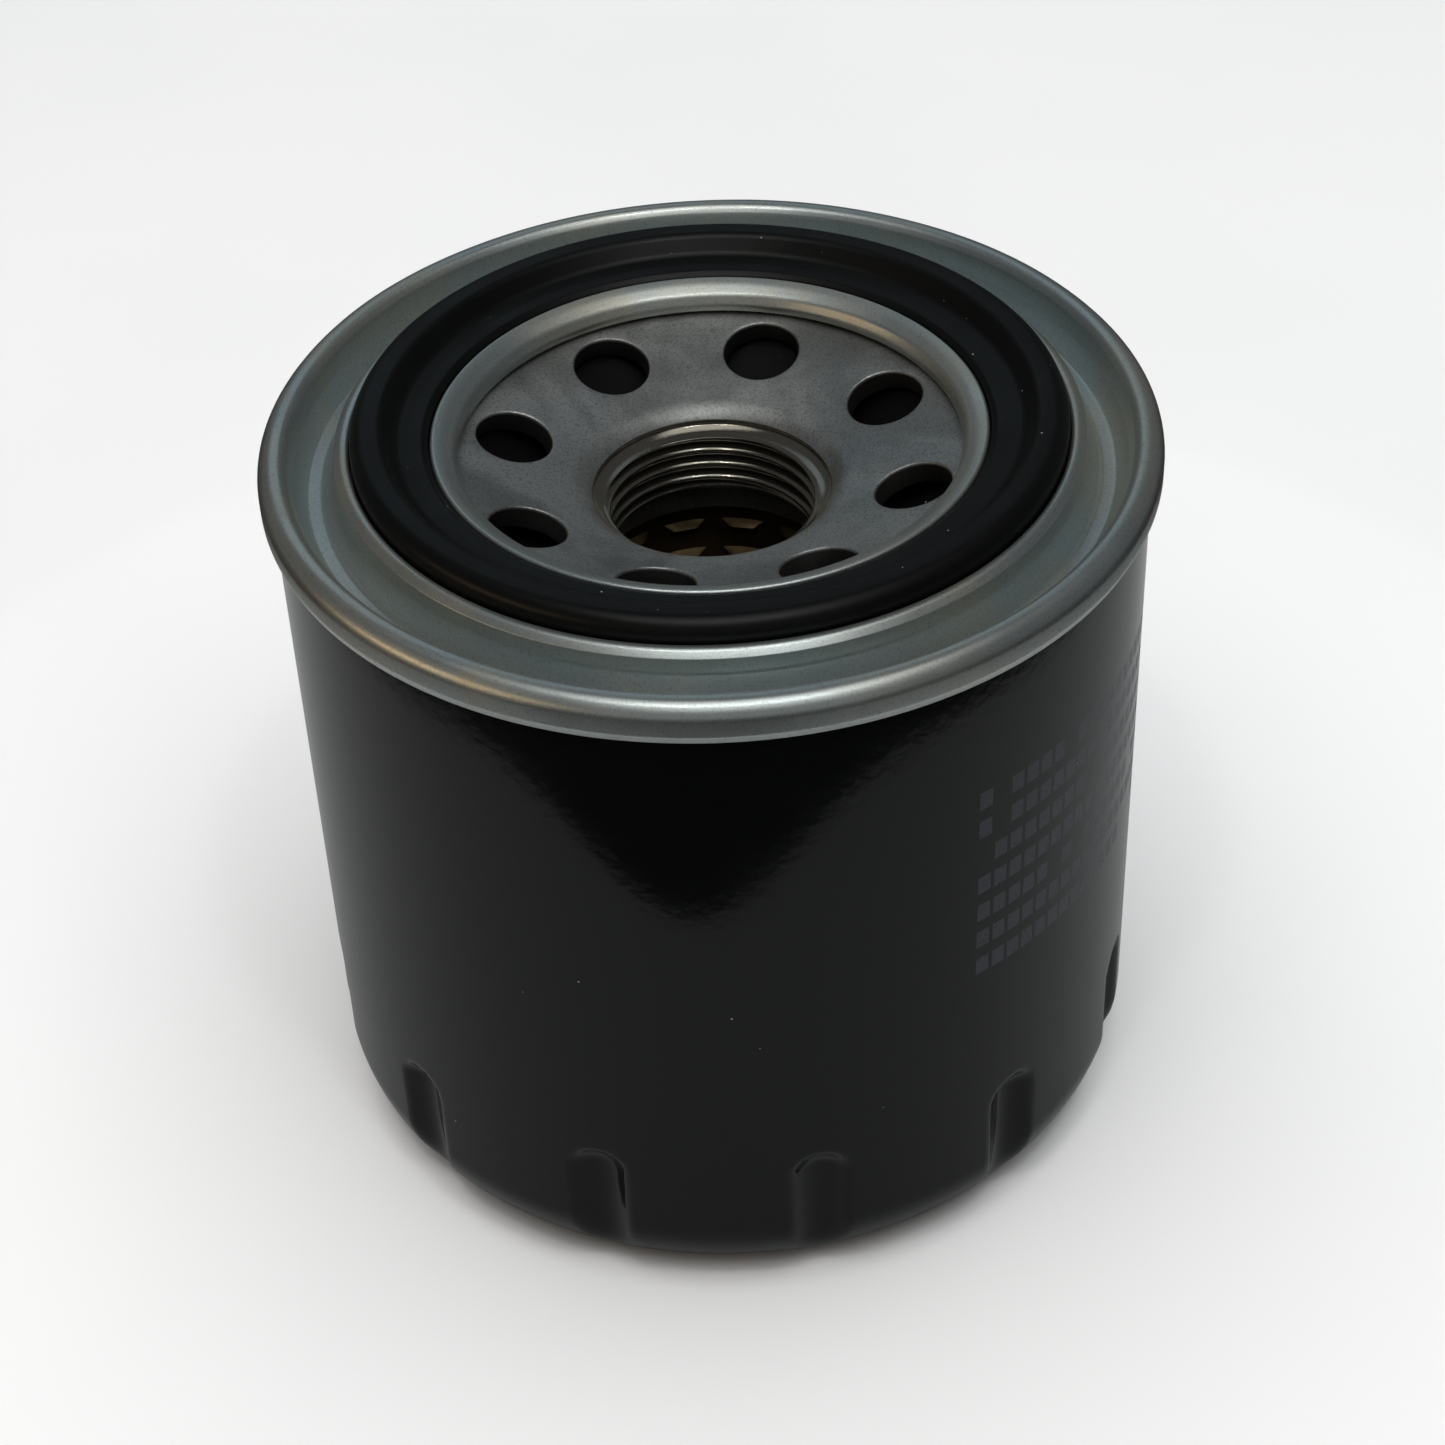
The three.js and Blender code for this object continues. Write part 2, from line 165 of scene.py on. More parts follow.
class Graph:
    """One material's nodes, with the few builders that the finishes share."""

    def __init__(self, name: str) -> None:
        """Start an empty node material.

        Args:
            name: the material's name.
        """
        self.material = bpy.data.materials.new(name)
        self.material.use_nodes = True
        self.tree = self.material.node_tree
        self.tree.nodes.clear()
        self.place = self.add("ShaderNodeTexCoord").outputs["Object"]

    def add(self, kind: str, settings: dict | None = None, inputs: dict | None = None) -> bpy.types.Node:
        """Add a node: its type, then its settings, then its sockets.

        Args:
            kind: the node's type name.
            settings: attributes of the node, set first.
            inputs: socket name or number to a value, a link or a Value.

        Returns:
            The new node.
        """
        node = self.tree.nodes.new(kind)
        for key, value in (settings or {}).items():
            setattr(node, key, value)
        for key, value in (inputs or {}).items():
            socket = value.socket if isinstance(value, Value) else value
            if isinstance(socket, bpy.types.NodeSocket):
                self.tree.links.new(socket, node.inputs[key])
            else:
                node.inputs[key].default_value = socket
        return node

    def number(self, node: bpy.types.Node, output: str | int = 0) -> Value:
        """Wrap one output of a node as a number."""
        return Value(self, node.outputs[output])

    def axes(self) -> tuple[Value, Value, Value]:
        """The object coordinates, in millimetres, one number for each axis."""
        parts = self.add("ShaderNodeSeparateXYZ", None, {0: self.place})
        x, y, z = (self.number(parts, i) * (1 / MM) for i in range(3))
        return x, y, z

    def polar(self) -> tuple[Value, Value, Value]:
        """Angle round the axis in radians, distance from it and height, both in millimetres."""
        x, y, z = self.axes()
        angle = y._math("ARCTAN2", y, x)
        radius = (x * x + y * y) ** 0.5
        return angle, radius, z

    def vector(self, x: "Value | float", y: "Value | float", z: "Value | float") -> bpy.types.NodeSocket:
        """Join three numbers into one vector."""
        return self.add("ShaderNodeCombineXYZ", None, {0: x, 1: y, 2: z}).outputs[0]

    def noise(self, scale: float, detail: float = 3.0, rough: float = 0.5, warp: float = 0.0,
              where: bpy.types.NodeSocket | None = None) -> Value:
        """Soft noise between 0 and 1.

        Args:
            scale: features for each unit of the coordinates (metres on object coordinates).
            detail: octaves.
            rough: weight of the finer octaves.
            warp: how much the pattern bends itself.
            where: coordinates, object coordinates where left out.

        Returns:
            The noise.
        """
        inputs = {"Vector": where or self.place, "Scale": scale, "Detail": detail,
                  "Roughness": rough, "Distortion": warp}
        return self.number(self.add("ShaderNodeTexNoise", None, inputs), 0)

    def specks(self, spacing: float, size: float, share: float) -> Value:
        """Small round marks, 1 inside a mark.

        Args:
            spacing: millimetres between places where a mark may be.
            size: largest radius of a mark, in millimetres.
            share: share of the places that have one.

        Returns:
            The mask.
        """
        inputs = {"Vector": self.place, "Scale": 1 / (spacing * MM)}
        node = self.add("ShaderNodeTexVoronoi", {"feature": "F1"}, inputs)
        distance = self.number(node, "Distance") * spacing
        pick = self.add("ShaderNodeSeparateColor", None, {0: node.outputs["Color"]})
        chosen = self.number(pick, 0).above(1.0 - share)
        reach = self.number(pick, 1) * size
        return chosen * (1.0 - (distance / (reach + 0.001)).eased(0.6, 1.0))

    def scratches(self, turn: float, length: float, width: float, amount: float, seed: float) -> Value:
        """Fine straight scratches, 1 inside a scratch.

        Args:
            turn: direction of the scratches round Z, in radians.
            length: length of a scratch in millimetres.
            width: its width in millimetres.
            amount: share of the surface that may be scratched.
            seed: shift that makes one set unlike another.

        Returns:
            The mask.
        """
        x, y, z = self.axes()
        along = x * math.cos(turn) + y * math.sin(turn) + seed
        across = y * math.cos(turn) - x * math.sin(turn) + z
        where = self.vector(along / length, across / width, seed)
        line = self.noise(1.0, 1.0, 0.4, 0.0, where)
        return line.eased(0.5 + 0.5 * (1.0 - amount), 0.62 + 0.5 * (1.0 - amount))

    def mix(self, share: "Value | float", first: object, second: object) -> bpy.types.NodeSocket:
        """Blend two colours.

        Args:
            share: 0 gives the first colour and 1 the second.
            first: a colour or a link.
            second: a colour or a link.

        Returns:
            The colour.
        """
        node = self.add("ShaderNodeMix", {"data_type": "RGBA", "clamp_factor": True},
                        {0: share, 6: first, 7: second})
        return node.outputs[2]

    def bump(self, height: Value, depth: float, strength: float = 1.0,
             under: bpy.types.NodeSocket | None = None) -> bpy.types.NodeSocket:
        """Turn a height into a normal.

        Args:
            height: 0 to 1.
            depth: what 1 stands for, in millimetres.
            strength: share of the effect.
            under: a normal that this one lies on.

        Returns:
            The normal.
        """
        inputs = {"Height": height, "Distance": depth * MM, "Strength": strength}
        if under is not None:
            inputs["Normal"] = under
        return self.add("ShaderNodeBump", None, inputs).outputs[0]

    def finish(self, sockets: dict) -> bpy.types.Material:
        """End the graph in a Principled shader with those sockets, and return the material."""
        shader = self.add("ShaderNodeBsdfPrincipled", None, sockets)
        self.add("ShaderNodeOutputMaterial", None, {0: shader.outputs[0]})
        return self.material


# ---------------------------------------------------------------- finishes


@dataclass(frozen=True)
class BlackEnamel:
    """Satin black paint with orange peel, dust, short rubs and a faint block of greeked print."""

    colour: Colour = (0.0020, 0.0024, 0.0023, 1)
    print_colour: Colour = (0.026, 0.031, 0.040, 1)
    dust_colour: Colour = (0.28, 0.29, 0.29, 1)
    print_top: float = 54.5
    print_lines: int = 7
    line_pitch: float = 3.2
    bar_height: float = 1.9
    letter_pitch: float = 1.8
    letter_width: float = 1.4
    print_start: float = math.radians(-57.0)
    print_reach: float = 64.0
    wall_radius: float = 39.0

    def bars(self, graph: Graph) -> Value:
        """Rows of plain upright blocks in word-like groups: no letters.

        Args:
            graph: the material's graph.

        Returns:
            A mask that is 1 on a block.
        """
        angle, _, height = graph.polar()
        row = (self.print_top - height) / self.line_pitch
        along = (angle - self.print_start) * (self.wall_radius / self.letter_pitch)
        column, line = along.floor(), row.floor()
        chance = graph.add("ShaderNodeTexWhiteNoise", {"noise_dimensions": "3D"},
                           {"Vector": graph.vector(column, line, 3.0)})
        ragged = graph.add("ShaderNodeTexWhiteNoise", {"noise_dimensions": "1D"}, {"W": line + 11.0})
        word = graph.number(chance, 0).above(0.17)
        end = graph.number(ragged, 0) * 8.0 + self.print_reach / self.letter_pitch - 8.0
        block = along.fraction().between(0.0, self.letter_width / self.letter_pitch)
        tall = row.fraction().between(0.0, self.bar_height / self.line_pitch)
        inside = row.between(0.0, float(self.print_lines)) * along.between(0.0, end)
        return word * block * tall * inside

    def build(self) -> bpy.types.Material:
        """Make the material."""
        graph = Graph("black_enamel")
        peel = graph.noise(900.0, 2.0, 0.5)
        pores = graph.noise(5200.0, 2.0, 0.6)
        cloud = graph.noise(55.0, 3.0, 0.6, 0.4)
        dust = graph.specks(2.6, 0.13, 0.30)
        rubs = graph.scratches(0.4, 3.2, 0.09, 0.10, 4.0) * graph.noise(160.0, 1.0).eased(0.52, 0.6)
        worn_print = self.bars(graph) * graph.noise(1300.0, 2.0).eased(0.25, 0.45, 0.55, 1.0)
        base = graph.mix(worn_print * 0.9, self.colour, self.print_colour)
        base = graph.mix((dust + rubs * 0.25).clamped() * 0.75, base, self.dust_colour)
        roughness = cloud.eased(0.3, 0.75, 0.07, 0.12) + pores * 0.03 + worn_print * 0.2 + dust * 0.3
        normal = graph.bump(peel, 0.010, 0.9)
        normal = graph.bump(pores, 0.002, 0.6, normal)
        return graph.finish({
            "Base Color": base, "Roughness": roughness, "Normal": normal,
            "Specular IOR Level": 0.25,
        })


@dataclass(frozen=True)
class ZincPlate:
    """Satin zinc plating: fine grain, faint blue and straw tints, rolling lines round the axis."""

    colour: Colour = (0.58, 0.59, 0.54, 1)
    cool: Colour = (0.51, 0.56, 0.55, 1)
    straw: Colour = (0.60, 0.56, 0.45, 1)
    grime: Colour = (0.13, 0.13, 0.12, 1)

    def build(self) -> bpy.types.Material:
        """Make the material."""
        graph = Graph("zinc_plate")
        angle, radius, height = graph.polar()
        lines = graph.noise(1.0, 2.0, 0.6, 0.0, graph.vector(angle * 1.5, radius * 5.0, height * 5.0))
        grain = graph.noise(5200.0, 3.0, 0.65)
        cloud = graph.noise(70.0, 4.0, 0.6, 0.6)
        tint = graph.noise(38.0, 2.0, 0.5, 0.3)
        marks = graph.specks(3.1, 0.16, 0.22)
        base = graph.mix(tint.eased(0.42, 0.62), self.cool, self.colour)
        base = graph.mix(cloud.eased(0.5, 0.72) * 0.6, base, self.straw)
        base = graph.mix(marks * 0.8, base, self.grime)
        base = graph.mix(grain.eased(0.5, 0.72) * 0.42, base, self.grime)
        roughness = cloud.eased(0.3, 0.7, 0.24, 0.34) + lines * 0.06 + grain * 0.08
        normal = graph.bump(lines, 0.006, 0.8)
        normal = graph.bump(grain, 0.009, 0.9, normal)
        return graph.finish({
            "Base Color": base, "Roughness": roughness, "Metallic": 0.94, "Normal": normal,
        })


@dataclass(frozen=True)
class PressedSteel:
    """Bare pressed steel with an oil film, smudges, scratches and bright grains.

    Inside the bore radius it is darker, warmer and glossier. Outside hub_radius, below a conical face of
    height face_foot + face_rise * radius, it carries painted shade: a near-black colour on the walls of the
    punched holes, the underside and the rim hidden under the lid.
    """

    name: str = "pressed_steel"
    colour: Colour = (0.47, 0.48, 0.47, 1)
    smudge: Colour = (0.27, 0.28, 0.27, 1)
    dark: Colour = (0.10, 0.10, 0.09, 1)
    # oil: the darker, warmer colour given inside the bore radius
    oil: Colour = (0.27, 0.25, 0.205, 1)
    # wall: painted shade, the near-black colour for the hole walls, the underside and the hidden rim
    wall: Colour = (0.05, 0.05, 0.045, 1)
    low_rough: float = 0.34
    high_rough: float = 0.52
    bore: float = 0.0
    hub_radius: float = 13.4
    face_foot: float = -5.0
    face_rise: float = 0.0

    def build(self) -> bpy.types.Material:
        """Make the material."""
        graph = Graph(self.name)
        _, radius, height = graph.polar()
        # 1 inside the bore radius, where the colour turns darker and warmer and the roughness drops
        in_bore = 1.0 - radius.above(self.bore)
        # punched: 1 below the conical face outside hub_radius, where the painted shade goes
        punched = (radius * self.face_rise + (self.face_foot - 0.3) - height).above(0.0)
        punched = punched * radius.above(self.hub_radius)
        grain = graph.noise(4300.0, 4.0, 0.7)
        cloud = graph.noise(120.0, 4.0, 0.62, 0.9)
        wipe = graph.noise(46.0, 3.0, 0.55, 1.4)
        scratch = graph.scratches(0.7, 6.0, 0.06, 0.16, 2.0) + graph.scratches(2.2, 4.0, 0.05, 0.14, 9.0)
        pits = graph.specks(1.7, 0.09, 0.25)
        base = graph.mix(wipe.eased(0.40, 0.64) * 0.9, self.colour, self.smudge)
        base = graph.mix(grain.eased(0.46, 0.68) * 0.6, base, self.dark)
        base = graph.mix((pits * 0.8 + scratch * 0.45).clamped(), base, self.dark)
        base = graph.mix(in_bore * 0.9, base, self.oil)
        # painted shade: the near-black wall colour on the hole walls, the underside and the hidden rim
        base = graph.mix(punched * 0.85, base, self.wall)
        roughness = cloud.eased(0.3, 0.7, self.low_rough, self.high_rough) + grain * 0.10 - scratch * 0.05
        roughness = roughness * (1.0 - in_bore * 0.8)
        normal = graph.bump(grain, 0.011, 0.9)
        normal = graph.bump(scratch, -0.008, 0.8, normal)
        normal = graph.bump(cloud, 0.02, 0.35, normal)
        return graph.finish({
            "Base Color": base, "Roughness": roughness, "Metallic": 0.95, "Normal": normal,
        })


@dataclass(frozen=True)
class OiledRubber:
    """Black moulded rubber with a thin oil sheen, dust and faint mould lines round the axis."""

    name: str = "oiled_rubber"
    colour: Colour = (0.0018, 0.0019, 0.0018, 1)
    dust_colour: Colour = (0.30, 0.31, 0.31, 1)
    low_rough: float = 0.30
    high_rough: float = 0.40
    shine: float = 0.21

    def build(self) -> bpy.types.Material:
        """Make the material."""
        graph = Graph(self.name)
        angle, radius, height = graph.polar()
        lines = graph.noise(1.0, 2.0, 0.5, 0.0, graph.vector(angle * 2.0, radius * 3.0, height * 3.0))
        skin = graph.noise(3100.0, 3.0, 0.6)
        film = graph.noise(90.0, 3.0, 0.6, 0.8)
        dust = graph.specks(2.2, 0.11, 0.40) + graph.specks(0.9, 0.05, 0.40)
        hairs = graph.scratches(1.9, 2.6, 0.05, 0.05, 6.0) * graph.noise(210.0, 1.0).eased(0.56, 0.62)
        marks = (dust + hairs * 0.5).clamped()
        base = graph.mix(marks * 0.8, self.colour, self.dust_colour)
        roughness = film.eased(0.3, 0.7, self.low_rough, self.high_rough) + skin * 0.06 + marks * 0.2
        normal = graph.bump(lines, 0.010, 0.5)
        normal = graph.bump(skin, 0.005, 0.6, normal)
        return graph.finish({
            "Base Color": base, "Roughness": roughness, "Normal": normal, "Specular IOR Level": self.shine,
        })


@dataclass(frozen=True)
class FilterPaper:
    """Resin-treated paper: warm fibre mottling, soaked darker in patches."""

    colour: Colour = (0.30, 0.165, 0.055, 1)
    soaked: Colour = (0.13, 0.07, 0.022, 1)
    fibre: Colour = (0.42, 0.28, 0.13, 1)

    def build(self) -> bpy.types.Material:
        """Make the material."""
        graph = Graph("filter_paper")
        x, y, z = graph.axes()
        fibres = graph.noise(1.0, 4.0, 0.7, 0.6, graph.vector(x * 3.0, y * 3.0, z * 0.9))
        patches = graph.noise(110.0, 3.0, 0.6, 0.5)
        base = graph.mix(patches.eased(0.4, 0.65), self.colour, self.soaked)
        base = graph.mix(fibres.eased(0.56, 0.75) * 0.5, base, self.fibre)
        roughness = patches.eased(0.4, 0.65, 0.75, 0.38)
        normal = graph.bump(fibres, 0.03, 0.8)
        return graph.finish({"Base Color": base, "Roughness": roughness, "Normal": normal})


@dataclass(frozen=True)
class Cured:
    """A cured paste or glue: slightly glossy, cloudy, with small bubbles."""

    name: str
    colour: Colour
    cloud_colour: Colour
    rough: float = 0.4

    def build(self) -> bpy.types.Material:
        """Make the material."""
        graph = Graph(self.name)
        cloud = graph.noise(170.0, 3.0, 0.6, 0.8)
        bubbles = graph.specks(1.4, 0.2, 0.4)
        base = graph.mix(cloud.eased(0.35, 0.7), self.colour, self.cloud_colour)
        roughness = cloud * 0.2 + self.rough
        normal = graph.bump(bubbles, -0.08, 0.7)
        return graph.finish({"Base Color": base, "Roughness": roughness, "Normal": normal})


@dataclass(frozen=True)
class PaleFloor:
    """Plain pale studio floor with a barely visible mottle."""

    colour: Colour = (0.93, 0.93, 0.93, 1)
    shade: Colour = (0.91, 0.91, 0.915, 1)

    def build(self) -> bpy.types.Material:
        """Make the material."""
        graph = Graph("pale_floor")
        cloud = graph.noise(9.0, 3.0, 0.5)
        base = graph.mix(cloud.eased(0.4, 0.6), self.colour, self.shade)
        return graph.finish({"Base Color": base, "Roughness": 0.55})


@dataclass(frozen=True)
class StudioCloth:
    """Plain studio cloth with a faint weave."""

    name: str
    colour: Colour
    thread: Colour

    def build(self) -> bpy.types.Material:
        """Make the material."""
        graph = Graph(self.name)
        base = graph.mix(graph.noise(900.0, 2.0), self.colour, self.thread)
        return graph.finish({"Base Color": base, "Roughness": 0.9, "Specular IOR Level": 0.1})


class Finish(Enum):
    """Every finish of the filter; a member's material is made once, when it is first asked for."""

    ENAMEL = BlackEnamel()
    ZINC = ZincPlate()
    # PLATE: darker, warmer and glossier in the bore, and painted shade below its conical face
    PLATE = PressedSteel(bore=HUB_MOUTH, face_foot=HUB_FACE_FOOT, face_rise=math.tan(PLATE_SLOPE))
    SHEET = PressedSteel("sheet_steel", (0.36, 0.36, 0.34, 1), (0.22, 0.21, 0.19, 1))
    TUBE = PressedSteel("oiled_tube", (0.13, 0.085, 0.038, 1), (0.045, 0.032, 0.016, 1),
                        low_rough=0.42, high_rough=0.56)
    WIRE = PressedSteel("spring_wire", (0.34, 0.35, 0.36, 1), (0.2, 0.2, 0.2, 1),
                        low_rough=0.24, high_rough=0.36)
    GASKET = OiledRubber()
    VALVE_RUBBER = OiledRubber("valve_rubber", (0.003, 0.003, 0.003, 1),
                               low_rough=0.36, high_rough=0.52, shine=0.05)
    PAPER = FilterPaper()
    GLUE = Cured("amber_glue", (0.40, 0.22, 0.07, 1), (0.22, 0.10, 0.03, 1))
    COMPOUND = Cured("seam_compound", (0.10, 0.095, 0.085, 1), (0.05, 0.05, 0.045, 1), 0.55)
    FLOOR = PaleFloor()
    CLOTH = StudioCloth("black_cloth", (0.004, 0.004, 0.004, 1), (0.008, 0.008, 0.008, 1))
    MAT = StudioCloth("grey_cloth", (0.40, 0.41, 0.41, 1), (0.37, 0.38, 0.38, 1))

    def material(self) -> bpy.types.Material:
        """The material of this finish, made once and then shared.

        Returns:
            The material.
        """
        made = _MATERIALS.get(self.name)
        if made is None:
            made = _MATERIALS[self.name] = self.value.build()
        return made


_MATERIALS: dict[str, bpy.types.Material] = {}


# ---------------------------------------------------------------- surfaces


def rounded(corners: Sequence[Corner], steps: int = 5) -> np.ndarray:
    """Round the corners of a closed outline.

    At each corner the two edges are cut back by fillet / tan(half the corner's angle) and joined by
    an arc of the fillet's radius. The cut never takes more than 0.49 of either edge.

    Args:
        corners: radius, height and fillet of each corner, in order.
        steps: edges in each arc.

    Returns:
        The outline as an (n, 2) array.
    """
    points = np.array([c[:2] for c in corners], float)
    fillets = [c[2] for c in corners]
    outline = []
    for i, here in enumerate(points):
        back, ahead = points[i - 1] - here, points[(i + 1) % len(points)] - here
        near = 0.49 * min(np.linalg.norm(back), np.linalg.norm(ahead))
        back, ahead = back / np.linalg.norm(back), ahead / np.linalg.norm(ahead)
        half = math.acos(float(np.clip(back @ ahead, -1, 1))) / 2
        if fillets[i] <= 0 or half > math.radians(89.5):
            outline.append(here[None])
            continue
        cut = min(fillets[i] / math.tan(half), near)
        start, end = here + back * cut, here + ahead * cut
        bisector = (back + ahead) / np.linalg.norm(back + ahead)
        centre = here + bisector * (cut / math.cos(half))
        share = np.linspace(0, 1, steps + 1)[:, None]
        spoke = (1 - share) * (start - centre) + share * (end - centre)
        spoke *= np.linalg.norm(start - centre) / np.linalg.norm(spoke, axis=1, keepdims=True)
        outline.append(centre + spoke)
    return np.concatenate(outline)


def revolved(outline: np.ndarray, columns: int, start: float = 0.0) -> np.ndarray:
    """Carry an outline round the axis: each point (r, z) becomes (r cos a, r sin a, z).

    Args:
        outline: (rows, 2) radius and height.
        columns: steps round the axis.
        start: angle of the first column, in radians.

    Returns:
        A (rows, columns, 3) grid.
    """
    angle = start + np.arange(columns) * TAU / columns
    return wrapped(outline[:, :1], angle, outline[:, 1:])


def wrapped(radius: np.ndarray | float, angle: np.ndarray, height: np.ndarray | float) -> np.ndarray:
    """Points given round the axis: x = radius cos(angle), y = radius sin(angle), z = height.

    Args:
        radius: distance from the axis.
        angle: angle round it, in radians.
        height: height; all three fit each other's shape.

    Returns:
        A (..., 3) array.
    """
    return np.stack(np.broadcast_arrays(radius * np.cos(angle), radius * np.sin(angle), height), -1)


def ripple(angle: np.ndarray, size: float, seed: float) -> np.ndarray:
    """Slow unevenness round the axis: three sines of 2, 5 and 11 waves.

    Args:
        angle: angles round the axis.
        size: most that the three make together.
        seed: shift between them.

    Returns:
        The unevenness at each angle.
    """
    waves = np.sin(2 * angle + seed) + 0.6 * np.sin(5 * angle + 2 * seed) + 0.35 * np.sin(11 * angle - seed)
    return size * waves / 1.95


def mixed_rings(first: np.ndarray, last: np.ndarray, layers: int) -> np.ndarray:
    """Rings that pass evenly from one ring of points to another, both included.

    Args:
        first: (..., n, k) ring.
        last: ring of the same shape.
        layers: steps between them.

    Returns:
        A (layers + 1, ..., n, k) array.
    """
    share = np.linspace(0, 1, layers + 1).reshape(-1, *([1] * first.ndim))
    return first[None] * (1 - share) + last[None] * share


def frame_ring(side: int, half_u: float, half_v: float) -> np.ndarray:
    """Points round a rectangle, anticlockwise from its lower right corner.

    Args:
        side: points on each side.
        half_u: half its width.
        half_v: half its height.

    Returns:
        A (4 * side, 2) array.
    """
    t = np.arange(side) / side * 2 - 1
    one = np.ones(side)
    sides = [(one, t), (-t, one), (-one, -t), (t, -one)]
    ring = np.concatenate([np.stack(s, -1) for s in sides])
    return ring * [half_u, half_v]


def hole_ring(side: int) -> np.ndarray:
    """Angles round a hole that face the points of frame_ring, in radians."""
    return -math.pi / 4 + np.arange(4 * side) * TAU / (4 * side)


def window_ring(side: int, width: float, height: float, power: float) -> np.ndarray:
    """A rounded window: half its size times the cosine and sine, each with its sign, to a power.

    Args:
        side: a quarter of its points.
        width: its width.
        height: its height.
        power: 1 for an ellipse, less for squarer corners.

    Returns:
        A (4 * side, 2) array that faces the points of frame_ring.
    """
    turn = hole_ring(side)
    across, up = np.cos(turn), np.sin(turn)
    return np.stack([
        width / 2 * np.sign(across) * np.abs(across) ** power,
        height / 2 * np.sign(up) * np.abs(up) ** power,
    ], -1)


def quads(rows: int, columns: int, close_rows: bool, close_columns: bool) -> np.ndarray:
    """A grid's faces: (i, j), (i, j+1), (i+1, j+1), (i+1, j), wrapped where it is closed.

    Args:
        rows: rows of points.
        columns: points in each row.
        close_rows: whether the last row meets the first.
        close_columns: whether each row's end meets its start.

    Returns:
        A (faces, 4) array of corner numbers.
    """
    i = np.arange(rows if close_rows else rows - 1)[:, None]
    j = np.arange(columns if close_columns else columns - 1)[None]
    below, right = (i + 1) % rows, (j + 1) % columns
    corners = [i * columns + j, i * columns + right, below * columns + right, below * columns + j]
    return np.stack([np.broadcast_to(c, (i.size, j.size)) for c in corners], -1).reshape(-1, 4)


@dataclass
class Shape:
    """A mesh in the making: grids of points that are welded into one closed surface."""

    points: list[np.ndarray] = field(default_factory=list)
    faces: list[np.ndarray] = field(default_factory=list)
    count: int = 0

    def grid(self, points: np.ndarray, close_rows: bool = False, close_columns: bool = True) -> "Shape":
        """Add one grid of points.

        Args:
            points: (rows, columns, 3) in millimetres.
            close_rows: whether the last row joins the first.
            close_columns: whether the last column joins the first.

        Returns:
            The shape itself.
        """
        rows, columns = points.shape[:2]
        self.faces.append(quads(rows, columns, close_rows, close_columns) + self.count)
        self.points.append(points.reshape(-1, 3))
        self.count += rows * columns
        return self

    def piece(self, name: str, finish: Finish, sharp: float = 38.0) -> bpy.types.Object:
        """Weld the grids, turn the faces outward and give the object its finish.

        Args:
            name: the object's name.
            finish: its finish.
            sharp: edges that bend more than this many degrees stay crisp.

        Returns:
            The object.
        """
        mesh = bpy.data.meshes.new(name)
        mesh.from_pydata(np.concatenate(self.points) * MM, [], np.concatenate(self.faces))
        work = bmesh.new()
        work.from_mesh(mesh)
        bmesh.ops.remove_doubles(work, verts=work.verts, dist=2e-7)
        bmesh.ops.recalc_face_normals(work, faces=work.faces)
        work.to_mesh(mesh)
        work.free()
        mesh.shade_smooth()
        mesh.set_sharp_from_angle(angle=math.radians(sharp))
        mesh.materials.append(finish.material())
        piece = bpy.data.objects.new(name, mesh)
        bpy.context.scene.collection.objects.link(piece)
        return piece


def turned(name: str, corners: Sequence[Corner], finish: Finish, columns: int = 180,
           steps: int = 5) -> bpy.types.Object:
    """Make a turned piece from a closed outline with rounded corners.

    Args:
        name: the object's name.
        corners: radius, height and fillet of each corner.
        finish: its finish.
        columns: steps round the axis.
        steps: edges in each fillet.

    Returns:
        The object.
    """
    return Shape().grid(revolved(rounded(corners, steps), columns), close_rows=True).piece(name, finish)


def settle(piece: bpy.types.Object, body: str, node: str) -> None:
    """Let a piece ride on its body in place of its CAD node, and report it.

    Args:
        piece: the finished object.
        body: the CAD body that carries it.
        node: the CAD node that it stands for.
    """
    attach(piece, body)
    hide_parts(node)
    LOG.info("%s: %d faces on %s, for %s", piece.name, len(piece.data.polygons), body, node)


def band(inner: float, outer: float, foot: float, crest: float, soft_foot: float,
         soft_crest: float) -> list[Corner]:
    """Corners of a flat ring, all round: inner foot, outer foot, outer crest, inner crest.

    Args:
        inner: inner radius.
        outer: outer radius.
        foot: lower height.
        crest: upper height.
        soft_foot: fillet of the two lower corners.
        soft_crest: fillet of the two upper corners.

    Returns:
        The four corners.
    """
    return [(inner, foot, soft_foot), (outer, foot, soft_foot),
            (outer, crest, soft_crest), (inner, crest, soft_crest)]


def low(node: str) -> float:
    """Lowest height of a CAD node, in millimetres."""
    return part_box(node)[0].z / MM


def top(node: str) -> float:
    """Highest height of a CAD node, in millimetres."""
    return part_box(node)[1].z / MM


def reach(node: str) -> float:
    """Outer radius of a CAD node, in millimetres."""
    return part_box(node)[1].x / MM


# ---------------------------------------------------------------- the shell


